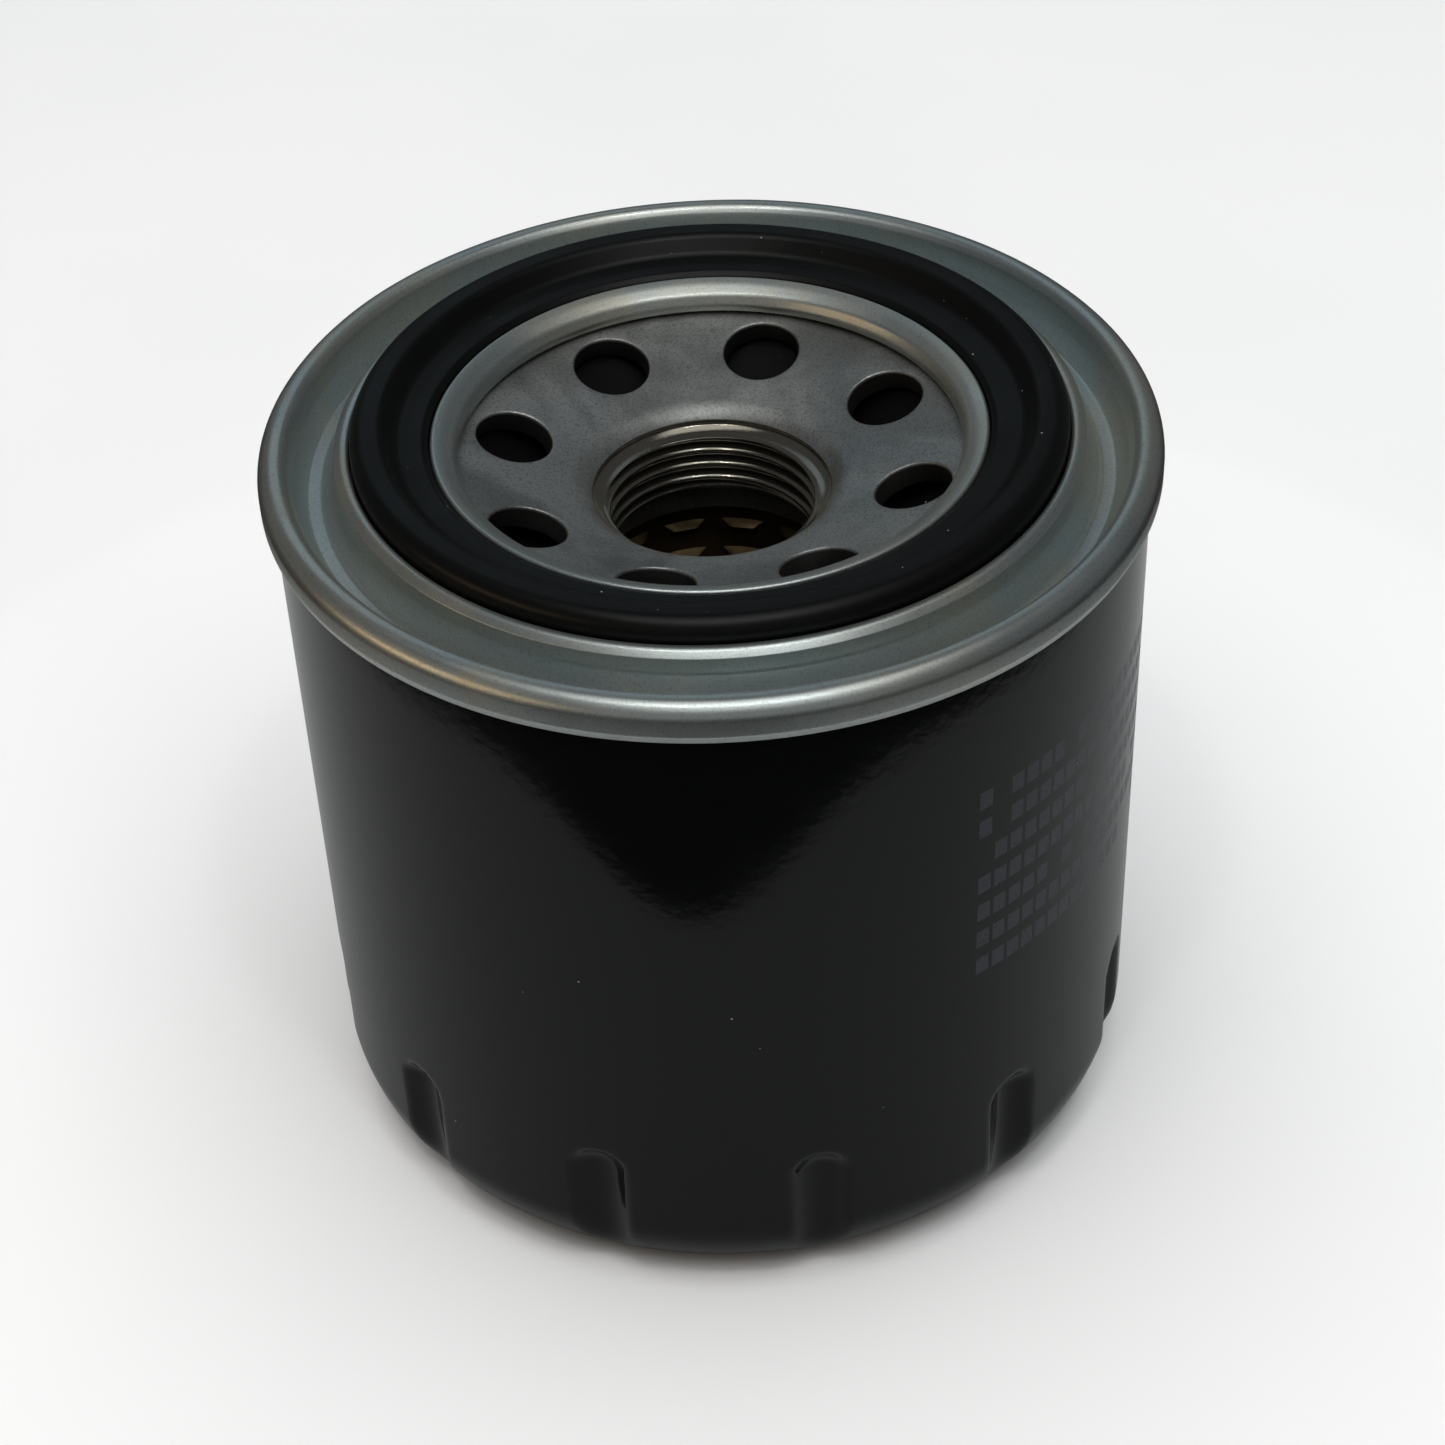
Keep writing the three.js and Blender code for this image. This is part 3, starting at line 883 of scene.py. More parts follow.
@dataclass
class Canister:
    """The painted can: a drawn cup with a raised base panel and wrench flutes round its closed end."""

    radius: float = 39.0
    rim: float = 68.6
    wall: float = 0.6
    corner: float = 8.0
    panel_radius: float = 20.0
    panel_rise: float = 1.2
    flutes: int = 12
    flute_turn: float = math.radians(10.4)
    flute_radius: float = 2.95
    flute_centre: float = 40.55
    flute_height: float = 14.6
    shoulder: float = 1.0
    columns: int = 528

    def outline(self, inset: float) -> np.ndarray:
        """Half section from the axis to the rim, with a dense run of rows where the flutes are.

        Args:
            inset: how far inside the outer skin this section lies.

        Returns:
            (rows, 2) radius and height.
        """
        rise, foot = self.panel_rise + inset, inset
        panel = self.panel_radius + inset / 2
        base = np.array([(0, rise), (panel * 0.5, rise), (panel - 0.8, rise), (panel, rise - 0.1),
                         (panel + 1.7, foot + 0.1), (panel + 2.5, foot), (panel + 5, foot)])
        bend = np.radians(np.linspace(-90, 0, 34))
        middle = self.radius - self.corner
        arc = np.stack([middle + (self.corner - inset) * np.cos(bend),
                        self.corner + (self.corner - inset) * np.sin(bend)], -1)
        fluted = np.arange(self.corner + 0.35, self.flute_height + self.flute_radius + 2.5, 0.35)
        plain = np.linspace(fluted[-1] + 1.5, self.rim, 14)
        wall = np.concatenate([fluted, plain])
        wall = np.stack([np.full_like(wall, self.radius - inset), wall], -1)
        return np.concatenate([base, arc, wall])

    def fluted(self, outline: np.ndarray, inset: float) -> np.ndarray:
        """Press the flutes in.

        A flute is the surface of an upright domed post outside the wall. At angle a from its centre
        the post's near side is at C cos a - sqrt(p^2 - C^2 sin^2 a), with p its radius at that
        height. The wall is the smooth minimum of its own radius and that distance.

        Args:
            outline: (rows, 2) section.
            inset: how far inside the outer skin it lies.

        Returns:
            A (rows, columns, 3) grid.
        """
        angle = np.arange(self.columns) * TAU / self.columns
        pitch = TAU / self.flutes
        off = (angle - self.flute_turn + pitch / 2) % pitch - pitch / 2
        radius, height = outline[:, :1], outline[:, 1:]
        post = self.flute_radius + inset
        over = np.maximum(height - self.flute_height, 0)
        reach_sq = np.maximum(post**2 - over**2, 0) - (self.flute_centre * np.sin(off)) ** 2
        near = self.flute_centre * np.cos(off) - np.sqrt(np.maximum(reach_sq, 0))
        outside = np.sqrt(np.maximum(-reach_sq, 0))
        near = near + outside * 0.9
        blend = self.shoulder
        h = np.clip(0.5 + 0.5 * (near - radius) / blend, 0, 1)
        pressed = near * (1 - h) + radius * h - blend * h * (1 - h)
        pressed = np.where(radius > self.panel_radius + 6, np.minimum(pressed, radius), radius)
        return np.stack([pressed * np.cos(angle), pressed * np.sin(angle), height + 0 * angle], -1)

    def build(self) -> None:
        """Make the can and set it on the shell."""
        outer = self.fluted(self.outline(0.0), 0.0)
        inner = self.fluted(self.outline(self.wall), self.wall)[::-1]
        can = Shape().grid(np.concatenate([outer, inner])).piece("painted_can", Finish.ENAMEL, 50)
        settle(can, "shell", "canister")


@dataclass
class SeamingLid:
    """The plated lid: rolled seam, channel, lip, gasket groove and curled inner ring, one sheet."""

    radius: float = 40.0
    foot: float = 67.05
    crest: float = 70.9
    sheet: float = 0.7
    channel: float = 66.8
    lip_outer: float = 33.2
    lip_top: float = 71.1
    groove_outer: float = 31.85
    groove_inner: float = 24.7
    groove_floor: float = 69.3
    ring_inner: float = 22.4
    ring_top: float = 70.94
    columns: int = 360

    def section(self) -> np.ndarray:
        """The sheet's closed section, upper side inward and then the underside back out.

        Returns:
            A (points, 2) outline of radius and height.
        """
        hook = self.radius - self.sheet
        under = self.channel - self.sheet
        plate = 68.3
        return rounded([
            (hook + 0.05, self.foot + 0.1, 0.1),
            (self.radius - 0.35, self.foot, 0.4),
            (self.radius, self.foot + 0.85, 0.9),
            (self.radius, self.crest - 1.0, 1.6),
            (self.radius - 0.9, self.crest, 1.6),
            (37.9, self.crest, 1.2),
            (37.35, self.crest - 0.7, 0.9),
            (36.95, 68.6, 0.6),
            (36.0, self.channel, 0.6),
            (34.5, self.channel, 0.6),
            (self.lip_outer + 0.1, 69.1, 1.2),
            (self.lip_outer, self.lip_top - 0.6, 0.12),
            (self.lip_outer - 0.62, self.lip_top, 0.6),
            (self.groove_outer, self.lip_top - 0.05, 0.35),
            (self.groove_outer, self.groove_floor, 0.3),
            (self.groove_inner, self.groove_floor, 0.3),
            (self.groove_inner, self.ring_top, 0.28),
            (23.7, self.ring_top - 0.34, 3.0),
            (self.ring_inner + 0.3, self.ring_top - 0.92, 0.9),
            (self.ring_inner - 0.08, self.ring_top - 1.9, 0.8),
            (self.ring_inner + 0.12, plate, 0.2),
            (self.ring_inner + self.sheet, plate, 0.2),
            (self.ring_inner + self.sheet, self.ring_top - 1.6, 0.6),
            (self.groove_inner - self.sheet, self.ring_top - self.sheet, 0.2),
            (self.groove_inner - self.sheet, self.groove_floor - self.sheet, 0.4),
            (32.9, self.groove_floor - self.sheet, 0.6),
            (33.8, under, 0.6),
            (37.05, under, 0.8),
            (37.7, 67.5, 0.4),
            (38.1, 69.7, 0.3),
            (hook - 0.35, 69.9, 0.25),
            (hook, 69.5, 0.2),
        ], 7)

    def build(self) -> None:
        """Make the lid with a slightly uneven seam and set it on the shell."""
        grid = revolved(self.section(), self.columns)
        angle = np.arange(self.columns) * TAU / self.columns
        radius = np.linalg.norm(grid[..., :2], axis=-1)
        at_seam = np.clip((radius - 37) / 1.5, 0, 1)
        swell = ripple(angle, 0.035, 1.3) * at_seam - 0.035 * at_seam
        grid[..., :2] *= ((radius + swell) / radius)[..., None]
        grid[..., 2] += ripple(angle, 0.05, 0.4) * at_seam * np.clip((grid[..., 2] - 67) / 3, 0, 1)
        lid = Shape().grid(grid, close_rows=True).piece("rolled_lid", Finish.ZINC, 60)
        settle(lid, "shell", "seaming_lid")


@dataclass
class ThreadPlate:
    """The dished plate: eight punched inlets, and a hub drawn inward with a cut M20 x 1.5 thread."""

    rim_radius: float = 37.7
    rim_top: float = 65.8
    flat_top: float = 68.35
    thickness: float = 2.2
    shoulder: float = 24.5
    slope: float = PLATE_SLOPE
    inlets: int = 8
    inlet_radius: float = 3.5
    inlet_circle: float = 18.4
    inlet_turn: float = math.radians(118.7)
    edge: float = 0.2
    cell_inner: float = 13.3
    cell_outer: float = 23.6
    mouth: float = 10.78
    mouth_height: float = 64.02
    curl: float = 3.45
    minor: float = 9.2
    major: float = 10.05
    pitch: float = 1.5
    lead: float = 0.375
    hub_outer: float = 12.0
    hub_foot: float = 57.4
    side: int = 34
    layers: int = 9

    def dish(self, radius: np.ndarray | float) -> np.ndarray | float:
        """Height of the dish's upper face at a radius: a straight cone below the shoulder."""
        return self.flat_top - (self.shoulder - radius) * math.tan(self.slope)

    def inlet_ring(self, hole: float, depth: float) -> np.ndarray:
        """One ring of points on or under the dish round an inlet's own axis.

        Args:
            hole: distance from the inlet's axis.
            depth: distance below the upper face, along the face's normal.

        Returns:
            (4 * side, 3) angle from the cell's middle, radius and height.
        """
        turn = hole_ring(self.side)
        outward, sideways = hole * np.sin(turn), hole * np.cos(turn)
        along = self.inlet_circle + outward * math.cos(self.slope)
        radius = np.hypot(along, sideways)
        height = self.dish(radius) - depth * math.cos(self.slope)
        off = np.arctan2(sideways, along)
        return np.stack([off, radius + depth * math.sin(self.slope), height], -1)

    def cell(self) -> np.ndarray:
        """One inlet's cell: upper face, rounded edge, bore, rounded edge, lower face.

        Returns:
            (rings, 4 * side, 3) angle from the cell's middle, radius and height.
        """
        middle = (self.cell_outer + self.cell_inner) / 2
        ring = frame_ring(self.side, math.pi / self.inlets, (self.cell_outer - self.cell_inner) / 2)
        border = np.stack([ring[:, 0], ring[:, 1] + middle, self.dish(ring[:, 1] + middle)], -1)
        drop = self.thickness / math.cos(self.slope)
        under = border - [0, 0, drop]
        bend = np.radians(np.linspace(0, 90, 5))
        holes = self.inlet_radius + self.edge * (1 - np.sin(bend))
        depths = self.edge * (1 - np.cos(bend))
        upper = [self.inlet_ring(h, d) for h, d in zip(holes, depths)]
        lower = [self.inlet_ring(h, self.thickness - d) for h, d in zip(holes[::-1], depths[::-1])]
        face = mixed_rings(border, upper[0], self.layers)[:-1]
        back = mixed_rings(lower[-1], under, self.layers)[1:]
        face[..., 2] = self.dish(face[..., 1])
        back[..., 2] = self.dish(back[..., 1]) - drop
        return np.concatenate([face, upper, lower, back])

    def thread(self, columns: int) -> np.ndarray:
        """The bore's cut thread.

        The groove's depth is a rounded triangle wave of (height / pitch - turns), so it climbs one
        pitch for each turn. It opens into the chamfer above and fades out at the hub's foot.

        Args:
            columns: steps round the axis.

        Returns:
            A (rows, columns, 3) grid from the mouth's chamfer down to the hub's foot.
        """
        angle = self.start() + np.arange(columns) * TAU / columns
        height = np.arange(self.mouth_height - 0.88, self.hub_foot + 0.2, -0.06)[:, None]
        phase = ((height + self.lead) / self.pitch - angle / TAU) % 1
        wave = np.clip((1 - np.abs(2 * phase - 1)) * 1.25 - 0.12, 0, 1)
        wave = wave**2 * (3 - 2 * wave)
        opening = np.clip(1 - (height[0] - height) / 0.14, 0, 1)
        fade = np.clip((height - self.hub_foot - 0.15) / 0.5, 0, 1)
        radius = self.minor + (self.major - self.minor) * np.maximum(wave * fade, opening)
        return wrapped(radius, angle, height)

    def start(self) -> float:
        """Angle where the first cell begins, so that every grid's columns meet."""
        return self.inlet_turn - math.pi / self.inlets

    def build(self) -> None:
        """Make the plate and set it on the shell."""
        columns = self.inlets * self.side
        shape = Shape()
        cell = self.cell()
        for k in range(self.inlets):
            angle = self.inlet_turn + k * TAU / self.inlets + cell[..., 0]
            shape.grid(wrapped(cell[..., 1], angle, cell[..., 2]))
        drop = self.thickness / math.cos(self.slope)
        bend = np.radians(np.linspace(105, 140, 9))
        curl = np.stack([self.mouth + self.curl * (np.cos(bend) - math.cos(bend[-1])),
                         self.mouth_height + self.curl * (np.sin(bend) - math.sin(bend[-1]))], -1)
        edge = [
            (self.mouth - 0.06, self.mouth_height - 0.08),
            (self.mouth - 0.08, self.mouth_height - 0.2),
            (self.mouth - 0.08, self.mouth_height - 0.58),
            (self.mouth - 0.16, self.mouth_height - 0.66),
            (self.major + 0.04, self.mouth_height - 0.86),
        ]
        entry = np.concatenate([[(self.cell_inner, self.dish(self.cell_inner))], curl, edge])
        thread = self.thread(columns)
        foot = rounded([(self.minor + 0.1, self.hub_foot + 0.1, 0), (self.minor + 0.25, self.hub_foot, 0.1),
                        (self.hub_outer, self.hub_foot, 0.35),
                        (self.hub_outer, self.dish(self.hub_outer) - drop, 1.6),
                        (self.cell_inner, self.dish(self.cell_inner) - drop, 0)])
        mouth = revolved(entry, columns, self.start())
        hub = revolved(foot, columns, self.start())
        shape.grid(np.concatenate([mouth, thread, hub]))
        low_face = self.flat_top - self.thickness
        rim = rounded([
            (self.cell_outer, self.dish(self.cell_outer), 0),
            (self.shoulder, self.flat_top, 1.5),
            (32.3, self.flat_top, 0.6),
            (33.4, self.rim_top, 0.6),
            (self.rim_radius, self.rim_top, 0.3),
            (self.rim_radius, self.rim_top - self.thickness, 0.3),
            (31.6, self.rim_top - self.thickness, 0.8),
            (30.9, low_face, 0.8),
            (self.shoulder - 0.3, low_face, 1.5),
            (self.cell_outer, self.dish(self.cell_outer) - drop, 0),
        ])
        shape.grid(revolved(rim, columns, self.start()))
        plate = shape.piece("thread_plate_pressing", Finish.PLATE, 42)
        settle(plate, "shell", "thread_plate")


@dataclass
class SealingGasket:
    """The rubber ring: a round outer bead, a shallow valley and a lower inner flange."""

    outer: float = 31.68
    inner: float = 24.86
    foot: float = 69.45
    crest: float = 73.0
    columns: int = 360

    def build(self) -> None:
        """Make the ring, a little uneven as rubber is, and set it on the shell."""
        section = rounded([
            (self.inner, self.foot, 0.3),
            (self.outer, self.foot, 0.3),
            (self.outer, self.crest, 2.0),
            (self.outer - 2.75, self.crest, 1.0),
            (self.outer - 3.95, self.crest - 1.6, 1.1),
            (self.outer - 5.2, self.crest - 1.84, 1.0),
            (self.inner + 0.55, self.crest - 1.9, 0.45),
            (self.inner, self.crest - 2.3, 0.3),
        ], 8)
        grid = revolved(section, self.columns)
        angle = np.arange(self.columns) * TAU / self.columns
        high = np.clip((grid[..., 2] - self.foot) / 2, 0, 1)
        grid[..., 2] += (ripple(angle, 0.03, 2.2) - 0.03) * high
        ring = Shape().grid(grid, close_rows=True).piece("gasket_ring", Finish.GASKET, 60)
        settle(ring, "shell", "sealing_gasket")


@dataclass
class DrainbackValve:
    """The rubber collar round the hub with its thin flap; the flap bends down as oil comes in."""

    bore: float = 12.3
    travel: float = 1.5

    def build(self) -> None:
        """Make the valve; it stays with the shell."""
        foot, lip = low("anti_drainback_valve"), top("anti_drainback_valve")
        valve = turned("drainback_rubber", [
            (self.bore, foot, 0.2), (self.bore + 2, foot, 0.4), (self.bore + 2.4, 60, 1.5),
            (18.7, 61.4, 3), (22.8, 64.2, 1.5), (23.8, 65.3, 0.25), (23.3, lip, 0.2),
            (22, 64.9, 1), (18.4, 62.4, 3), (self.bore + 1.8, 61, 1.0), (self.bore, 61.3, 0.3),
        ], Finish.VALVE_RUBBER, 240, 6)
        settle(valve, "shell", "anti_drainback_valve")
        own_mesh(valve)


@dataclass
class SeamFiller:
    """The bead of sealing compound over the can's rim, inside the seam."""

    inner: float = 38.5
    outer: float = 38.95

    def build(self) -> None:
        """Make the bead and set it on the shell."""
        foot, crest = low("seam_compound"), top("seam_compound")
        bead = turned("seam_filler", band(self.inner, self.outer, foot, crest, 0.1, 0.1), Finish.COMPOUND)
        settle(bead, "shell", "seam_compound")


# ---------------------------------------------------------------- coil springs


@dataclass
class CoilSpring:
    """Round wire wound on a circle that rises, and may narrow, evenly; its ends are closed."""

    low_radius: float
    high_radius: float
    wire: float
    foot: float
    crest: float
    turns: float
    steps: int = 64
    sides: int = 16

    def surface(self) -> np.ndarray:
        """The wire's skin.

        The centre line is (r cos a, r sin a, z) with r and z mixed between the ends. The skin is the
        centre line plus wire * (cos b outward + sin b upward), shrunk to a point at both ends.

        Returns:
            A (rings, sides, 3) grid.
        """
        rings = int(self.turns * self.steps)
        share = np.linspace(0, 1, rings + 1)[:, None]
        angle = TAU * self.turns * share
        radius = self.low_radius + (self.high_radius - self.low_radius) * share
        height = self.foot + self.wire + (self.crest - self.foot - 2 * self.wire) * share
        around = np.arange(self.sides) * TAU / self.sides
        close = np.ones_like(share)
        close[[0, -1]] = 0
        reach_out = radius + self.wire * close * np.cos(around)
        rise = height + self.wire * close * np.sin(around)
        return wrapped(reach_out, angle, rise)

    def build(self, name: str) -> bpy.types.Object:
        """Make the spring under that name."""
        return Shape().grid(self.surface()).piece(name, Finish.WIRE, 60)


@dataclass
class ElementSpring:
    """The spring under the element: it stands on the can's base and shortens as the element gives."""

    travel: float = 2.0

    def build(self) -> None:
        """Make the spring; it rides the shell."""
        foot, crest = low("support_spring"), top("support_spring")
        coil = CoilSpring(15.5, 12.0, 0.85, foot + 0.05, crest - 0.05, 3).build("element_spring")
        settle(coil, "shell", "support_spring")
        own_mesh(coil)


# ---------------------------------------------------------------- the element


@dataclass
class FilterElement:
    """End caps, glue, pleated paper and its clip, round the louvred centre tube."""

    sheet: float = 0.5
    rim: float = 3.5
    pleats: int = 40
    pleat_inner: float = 13.7
    pleat_outer: float = 33.4
    pleat_width: float = 1.7
    paper: float = 0.6
    tube_radius: float = 13.1
    tube_wall: float = 0.5
    slot_columns: int = 14
    slot_rows: int = 12
    slot_width: float = 3.0
    slot_height: float = 1.25
    louvre_start: float = 0.35
    louvre: float = 0.8

    def cap(self, name: str, node: str, outer: float, inward: float, hole: float, collar: float) -> None:
        """Make one end cap.

        Args:
            name: the object's name.
            node: its CAD node.
            outer: height of its outer face.
            inward: +1 or -1, the way from that face to the paper.
            hole: radius of its hole.
            collar: how far the hole's edge is turned in.
        """
        radius = reach(node)
        corners = [
            (hole, outer + inward * collar, 0.1),
            (hole, outer, 0.9),
            (radius, outer, 0.8),
            (radius, outer + inward * self.rim, 0.15),
            (radius - self.sheet, outer + inward * self.rim, 0.15),
            (radius - self.sheet, outer + inward * self.sheet, 0.4),
            (hole + self.sheet, outer + inward * self.sheet, 0.4),
            (hole + self.sheet, outer + inward * collar, 0.1),
        ]
        if collar <= self.sheet:
            corners = [(hole, outer + inward * self.sheet, 0.15), (hole, outer, 0.15), *corners[2:6]]
        settle(turned(name, corners, Finish.SHEET, 216), "element", node)

    def glue(self, name: str, node: str) -> None:
        """Make one glue bed in the place of its CAD node.

        Args:
            name: the object's name.
            node: its CAD node.
        """
        corners = band(self.tube_radius + 0.3, reach(node), low(node), top(node), 0.2, 0.3)
        settle(turned(name, corners, Finish.GLUE), "element", node)

    def pleat_ring(self, root: float, tip: float, half: float) -> np.ndarray:
        """One side of the folded paper, seen along the axis.

        Each pleat is two straight plies half apart from its middle line, from the root to the tip,
        closed by a half circle at the tip and joined to its neighbour by an arc at the root.

        Args:
            root: radius at the pleat's foot.
            tip: radius at its tip.
            half: half its width.

        Returns:
            (points, 2) x and y.
        """
        bend = np.radians(np.linspace(-90, 90, 7))
        crown = np.stack([tip - half + half * np.cos(bend), half * np.sin(bend)], -1)
        length = np.linspace(root, tip - half, 6)[:-1]
        up = np.stack([length, np.full_like(length, -half)], -1)
        down = up[::-1] * [1, -1]
        pleat = np.concatenate([up, crown, down])
        turn = np.arange(self.pleats)[:, None] * TAU / self.pleats
        x = pleat[:, 0] * np.cos(turn) - pleat[:, 1] * np.sin(turn)
        y = pleat[:, 0] * np.sin(turn) + pleat[:, 1] * np.cos(turn)
        return np.stack([x.ravel(), y.ravel()], -1)

    def media(self) -> None:
        """Make the pleated paper: its outer and inner sides, joined at the top and the bottom."""
        foot, crest = low("pleated_media"), top("pleated_media")
        half = self.pleat_width / 2
        outer = self.pleat_ring(self.pleat_inner + self.paper, self.pleat_outer, half)
        inner = self.pleat_ring(self.pleat_inner, self.pleat_outer - self.paper, half - self.paper)
        levels = np.linspace(foot, crest, 5)

        def wall(ring: np.ndarray, heights: np.ndarray) -> np.ndarray:
            """Lift a ring to each height."""
            flat = np.broadcast_to(ring[None], (len(heights), *ring.shape))
            return np.concatenate([flat, np.broadcast_to(heights[:, None, None], (*flat.shape[:2], 1))], -1)

        grid = np.concatenate([wall(outer, levels), wall(inner, levels[::-1])])
        paper = Shape().grid(grid, close_rows=True).piece("pleated_paper", Finish.PAPER, 60)
        settle(paper, "element", "pleated_media")

    def clip(self) -> None:
        """Make the folded strip that closes the paper's joining pleat: a U section run upward."""
        foot, crest = low("media_seam_clip"), top("media_seam_clip")
        root, inner = self.pleat_outer - 4.5, self.pleat_width / 2 + 0.15
        outer, crown = inner + 0.3, self.pleat_outer + 0.15
        section = rounded([
            (root, inner, 0.1), (crown, inner, 0.3), (crown, -inner, 0.3), (root, -inner, 0.1),
            (root, -outer, 0.1), (crown + 0.3, -outer, 0.5), (crown + 0.3, outer, 0.5), (root, outer, 0.1),
        ], 4)
        half = len(section) // 2
        levels = np.array([foot, crest])
        shape = Shape()
        walls = [np.column_stack([section, np.full(len(section), z)]) for z in levels]
        shape.grid(np.stack(walls))
        for z in levels:
            inside, outside = section[:half], section[half:][::-1]
            pair = np.stack([np.column_stack([s, np.full(half, z)]) for s in (inside, outside)])
            shape.grid(pair, close_columns=False)
        strip = shape.piece("pleat_clip", Finish.SHEET, 40)
        settle(strip, "element", "media_seam_clip")

    def tube(self) -> None:
        """Make the centre tube: rows of cells in line, each pierced by a rounded slot.

        A slot's upper half is pressed inward as a louvre: its edge and the ring of points before it
        move towards the axis by louvre and louvre_start times the sine of their angle.
        """
        foot, crest = low("centre_tube") + 1.5, top("centre_tube") - 0.6
        side, layers = 7, 4
        pitch = (crest - foot) / self.slot_rows
        slot = window_ring(side, self.slot_width, self.slot_height, 0.5)
        half_width = math.pi * self.tube_radius / self.slot_columns
        rings = mixed_rings(frame_ring(side, half_width, pitch / 2), slot, layers)
        lift = np.zeros(rings.shape[:2])
        pressed = np.array([[self.louvre_start], [self.louvre]])
        lift[-2:] = pressed * np.clip(np.sin(hole_ring(side)), 0, 1)
        inner = self.tube_radius - self.tube_wall
        shape = Shape()
        columns = np.arange(self.slot_columns) * TAU / self.slot_columns
        for row in range(self.slot_rows):
            middle = foot + (row + 0.5) * pitch
            for column in columns:
                angle = column + rings[..., 0] / self.tube_radius
                outside, inside = (wrapped(radius - lift, angle, middle + rings[..., 1])
                                   for radius in (self.tube_radius, inner))
                shape.grid(np.concatenate([outside, inside[::-1]]))
        count = self.slot_columns * side
        start = -math.pi / self.slot_columns
        for end, edge in ((low("centre_tube"), foot), (top("centre_tube"), crest)):
            outer = self.tube_radius
            section = np.array([(outer, edge), (outer, end), (inner, end), (inner, edge)])
            shape.grid(revolved(section, count, start))
        tube = shape.piece("louvred_tube", Finish.TUBE, 40)
        settle(tube, "element", "centre_tube")

    def build(self) -> None:
        """Make the whole element."""
        self.cap("upper_end_cap", "element_top_cap", top("element_top_cap"), -1, 11.2, 3.0)
        self.cap("lower_end_cap", "element_bottom_cap", low("element_bottom_cap"), 1, 7.0, self.sheet)
        self.glue("upper_glue", "top_glue_bed")
        self.glue("lower_glue", "bottom_glue_bed")
        self.media()
        self.clip()
        self.tube()


@dataclass
class BypassValve:
    """Cage, seat seal, poppet, spring and retainer on the element's lower cap."""

    cage_radius: float = 10.0
    cage_wall: float = 0.6
    flange: float = 1.8
    windows: int = 4
    window_width: float = 6.0
    window_height: float = 6.0
    windows_foot: float = 15.6
    windows_crest: float = 23.4
    seat: float = 7.3
    stem: float = 1.6
    lift: float = 3.0
    side: int = 12

    def cage(self) -> None:
        """Make the cage: a flanged cylinder whose wall is cells pierced by rounded windows."""
        foot, crest = low("bypass_cage"), top("bypass_cage")
        outer = self.cage_radius
        inner, ledge = outer - self.cage_wall, foot + self.cage_wall
        low_edge, high_edge = self.windows_foot, self.windows_crest
        middle = (low_edge + high_edge) / 2
        hole = window_ring(self.side, self.window_width, self.window_height, 0.45)
        half_width = math.pi * outer / self.windows
        rings = mixed_rings(frame_ring(self.side, half_width, (high_edge - low_edge) / 2), hole, 5)
        shape = Shape()
        for k in range(self.windows):
            angle = math.pi / 4 + k * TAU / self.windows + rings[..., 0] / outer
            outside, inside = (wrapped(radius, angle, middle + rings[..., 1]) for radius in (outer, inner))
            shape.grid(np.concatenate([outside, inside[::-1]]))
        columns = self.windows * self.side
        head = np.array([(outer, high_edge), (outer, crest), (inner, crest), (inner, high_edge)])
        base = rounded([
            (inner, low_edge, 0), (inner, foot, 0.2),
            (outer + self.flange, foot, 0.15), (outer + self.flange, ledge, 0.15),
            (outer, ledge, 0.5), (outer, low_edge, 0),
        ], 4)
        for section in (head, base):
            shape.grid(revolved(section, columns, 0.0))
        cage = shape.piece("valve_cage", Finish.SHEET, 40)
        settle(cage, "element", "bypass_cage")

    def build(self) -> None:
        """Make the valve; the poppet rides its own body."""
        self.cage()
        seal, poppet, washer = "bypass_seal", "bypass_poppet", "bypass_retainer"
        corners = band(self.seat, reach(seal), low(seal), top(seal), 0.2, 0.25)
        ring = turned("valve_seal", corners, Finish.VALVE_RUBBER, 120)
        settle(ring, "element", seal)
        foot, crest, disc = low(poppet), top(poppet), reach(poppet)
        profile = np.array([(0, foot), (disc - 0.25, foot), (disc, foot + 0.25), (disc, foot + 0.75),
                            (disc - 0.25, foot + 1), (self.stem + 0.5, foot + 1), (self.stem, foot + 1.5),
                            (self.stem, crest - 0.5), (self.stem - 0.4, crest), (0, crest)])
        head = Shape().grid(revolved(profile, 96)).piece("valve_poppet", Finish.SHEET)
        settle(head, "poppet", poppet)
        foot, crest, outer = low(washer), top(washer), reach(washer)
        inner = self.stem + 0.5
        corners = [(inner, foot, 0.1), (outer, foot, 0.2), (outer, crest, 0.3), (inner, crest, 0.2)]
        retainer = turned("valve_retainer", corners, Finish.SHEET, 120)
        settle(retainer, "element", washer)
        foot, crest = low("bypass_spring"), top("bypass_spring")
        coil = CoilSpring(5.5, 5.5, 0.47, foot + 0.03, crest - 0.03, 6, 40, 12).build("valve_spring")
        settle(coil, "element", "bypass_spring")
        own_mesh(coil)


# ---------------------------------------------------------------- studio


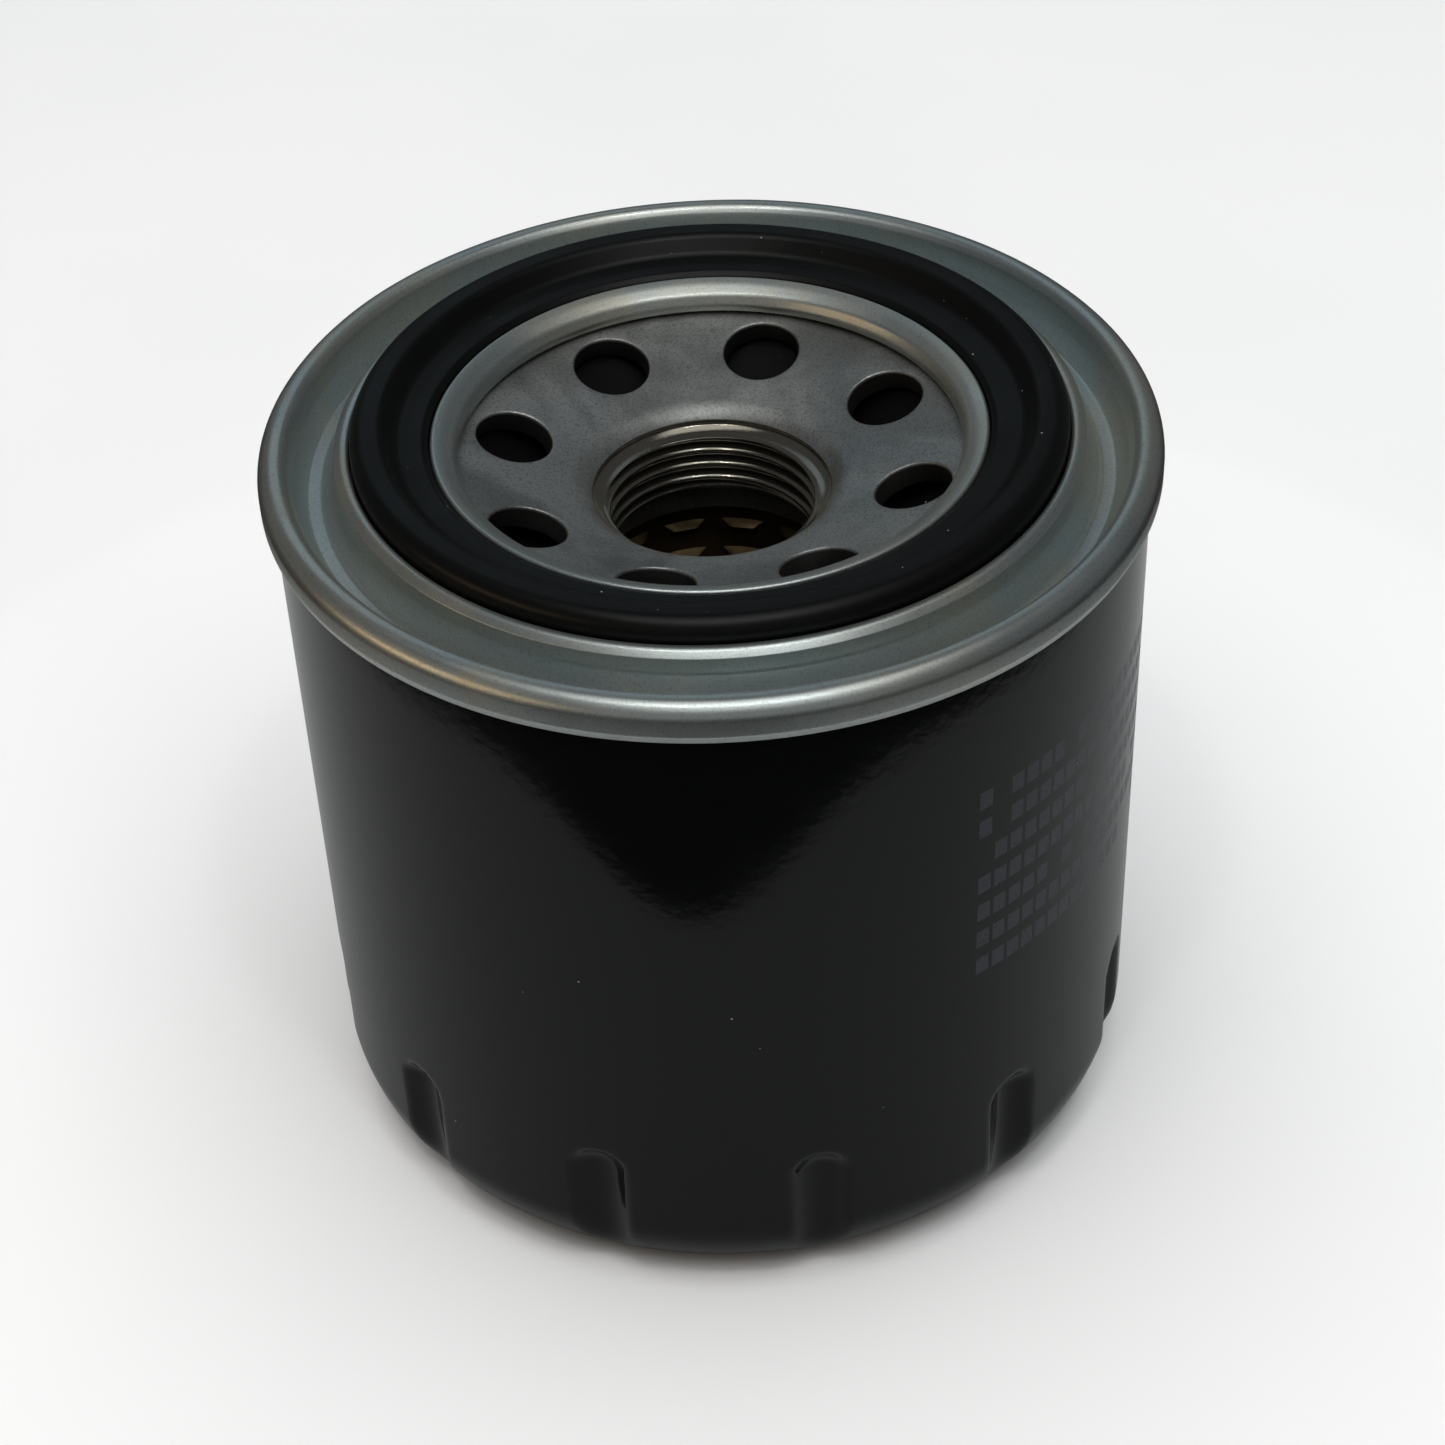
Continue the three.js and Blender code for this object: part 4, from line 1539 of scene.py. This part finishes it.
@dataclass
class Softbox:
    """One rectangular studio light. A fill lights matt surfaces and stays out of reflections."""

    name: str
    place: Point
    width: float
    height: float
    glow: float
    colour: Point = (1.0, 1.0, 1.0)
    aim: Point = (0.0, 0.0, 0.05)
    mirrored: bool = True

    def build(self) -> None:
        """Make the light; its power is pi * area * glow, so glow is the brightness of its face."""
        data = bpy.data.lights.new(self.name, "AREA")
        data.shape, data.size, data.size_y = "RECTANGLE", self.width, self.height
        data.energy, data.color = math.pi * self.width * self.height * self.glow, self.colour
        lamp = bpy.data.objects.new(self.name, data)
        lamp.location = self.place
        lamp.rotation_euler = (Vector(self.aim) - Vector(self.place)).to_track_quat("-Z", "Y").to_euler()
        lamp.visible_camera = False
        lamp.visible_glossy = self.mirrored
        bpy.context.scene.collection.objects.link(lamp)


@dataclass
class StudioMat:
    """A grey mat with a black border on the floor round the filter, which only its reflections show.

    The grey ends at radius near - dent * exp(-(turn / spread)^2), with turn the angle from the
    dent's direction, so that the black comes closer to the filter in front.
    """

    near: float = 0.112
    dent: float = 0.023
    spread: float = math.radians(30)
    direction: float = math.radians(-98)
    far: float = 1.5
    columns: int = 360

    def lay(self, name: str, rings: Sequence[np.ndarray], finish: "Finish") -> None:
        """Lay one flat ring of cloth between two edges, hidden from all but reflections.

        Args:
            name: the object's name.
            rings: its two edges.
            finish: its finish.
        """
        grid = np.stack(rings) + [0, 0, 0.0004]
        mesh = bpy.data.meshes.new(name)
        mesh.from_pydata(grid.reshape(-1, 3), [], quads(2, self.columns, False, True))
        mesh.materials.append(finish.material())
        cloth = bpy.data.objects.new(name, mesh)
        for ray in ("camera", "diffuse", "transmission", "shadow"):
            setattr(cloth, "visible_" + ray, False)
        bpy.context.scene.collection.objects.link(cloth)

    def build(self) -> None:
        """Make the mat and its border."""
        angle = np.arange(self.columns) * TAU / self.columns
        turn = (angle - self.direction + math.pi) % TAU - math.pi
        near = self.near - self.dent * np.exp(-((turn / self.spread) ** 2))
        ring = np.stack([np.cos(angle), np.sin(angle), np.zeros_like(angle)], -1)
        self.lay("grey_mat", (ring * 0.001, ring * near[:, None]), Finish.MAT)
        self.lay("black_border", (ring * near[:, None], ring * self.far), Finish.CLOTH)


@dataclass
class Studio:
    """Pale floor, soft light and the camera."""

    elevation: float = math.radians(39.622)
    roll: float = math.radians(-2.557)
    distance: float = 0.28935
    aim_height: float = 0.03642
    lens: float = 75.44
    floor_half: float = 1.6
    sky: float = 0.07

    def floor(self) -> None:
        """A wide flat floor under the filter."""
        h = self.floor_half
        mesh = bpy.data.meshes.new("studio_floor")
        mesh.from_pydata([(-h, -h, 0), (h, -h, 0), (h, h, 0), (-h, h, 0)], [], [(0, 1, 2, 3)])
        mesh.materials.append(Finish.FLOOR.material())
        floor = bpy.data.objects.new("studio_floor", mesh)
        bpy.context.scene.collection.objects.link(floor)

    def world(self) -> None:
        """A pale backdrop to look at that is dim as a light."""
        world = bpy.data.worlds.new("studio_world")
        world.use_nodes = True
        tree = world.node_tree
        dim = tree.nodes["Background"]
        dim.inputs["Color"].default_value = (0.9, 0.95, 1.0, 1)
        dim.inputs["Strength"].default_value = self.sky
        pale, ray = tree.nodes.new("ShaderNodeBackground"), tree.nodes.new("ShaderNodeLightPath")
        both = tree.nodes.new("ShaderNodeMixShader")
        tree.links.new(ray.outputs["Is Camera Ray"], both.inputs[0])
        tree.links.new(dim.outputs[0], both.inputs[1])
        tree.links.new(pale.outputs[0], both.inputs[2])
        tree.links.new(both.outputs[0], tree.nodes["World Output"].inputs["Surface"])
        bpy.context.scene.world = world

    def camera(self) -> None:
        """Look along +Y and down at the elevation, turned by the roll about the line of sight."""
        data = bpy.data.cameras.new("camera")
        data.lens, data.sensor_width = self.lens, 36.0
        data.clip_start, data.clip_end = 0.01, 20.0
        camera = bpy.data.objects.new("camera", data)
        place = Vector((0, -math.cos(self.elevation), math.sin(self.elevation))) * self.distance
        tilt = Matrix.Rotation(math.pi / 2 - self.elevation, 4, "X")
        spin = Matrix.Rotation(self.roll, 4, "Z")
        camera.matrix_world = Matrix.Translation(place + Vector((0, 0, self.aim_height))) @ tilt @ spin
        bpy.context.scene.collection.objects.link(camera)
        bpy.context.scene.camera = camera

    def build(self) -> None:
        """Make the floor, the surround, the lights and the camera."""
        self.floor()
        self.world()
        self.camera()
        StudioMat().build()
        Softbox("overhead_softbox", (0.05, -0.27, 0.79), 0.62, 0.80, 1.15, (1.0, 0.995, 0.98)).build()
        Softbox("blue_back_card", (-0.12, 0.75, 0.62), 0.62, 0.36, 0.34, (0.66, 0.86, 1.0)).build()
        Softbox("cool_lamp", (0.14, -0.30, 0.80), 0.05, 0.05, 42.0, (0.92, 0.97, 1.0)).build()
        Softbox("warm_lamp", (-0.12, -0.30, 0.80), 0.05, 0.05, 42.0, (1.0, 0.97, 0.91)).build()
        Softbox("warm_side_card", (-0.62, -0.30, 0.17), 0.60, 0.16, 1.7, (1.0, 0.70, 0.42)).build()
        Softbox("front_card", (0.1, -1.2, 0.30), 1.6, 0.7, 0.17).build()
        Softbox("ceiling_fill", (0.0, 0.0, 2.2), 3.0, 3.0, 1.9, mirrored=False).build()
        bpy.context.scene.view_settings.view_transform = "Standard"


def main() -> None:
    """Build every piece, then the studio."""
    logging.basicConfig(level=logging.INFO, format="%(message)s")
    parts = (Canister(), SeamingLid(), SeamFiller(), ThreadPlate(), SealingGasket(), DrainbackValve(),
             ElementSpring(), FilterElement(), BypassValve())
    for part in parts:
        part.build()
    Studio().build()


if __name__ == "__main__":
    main()
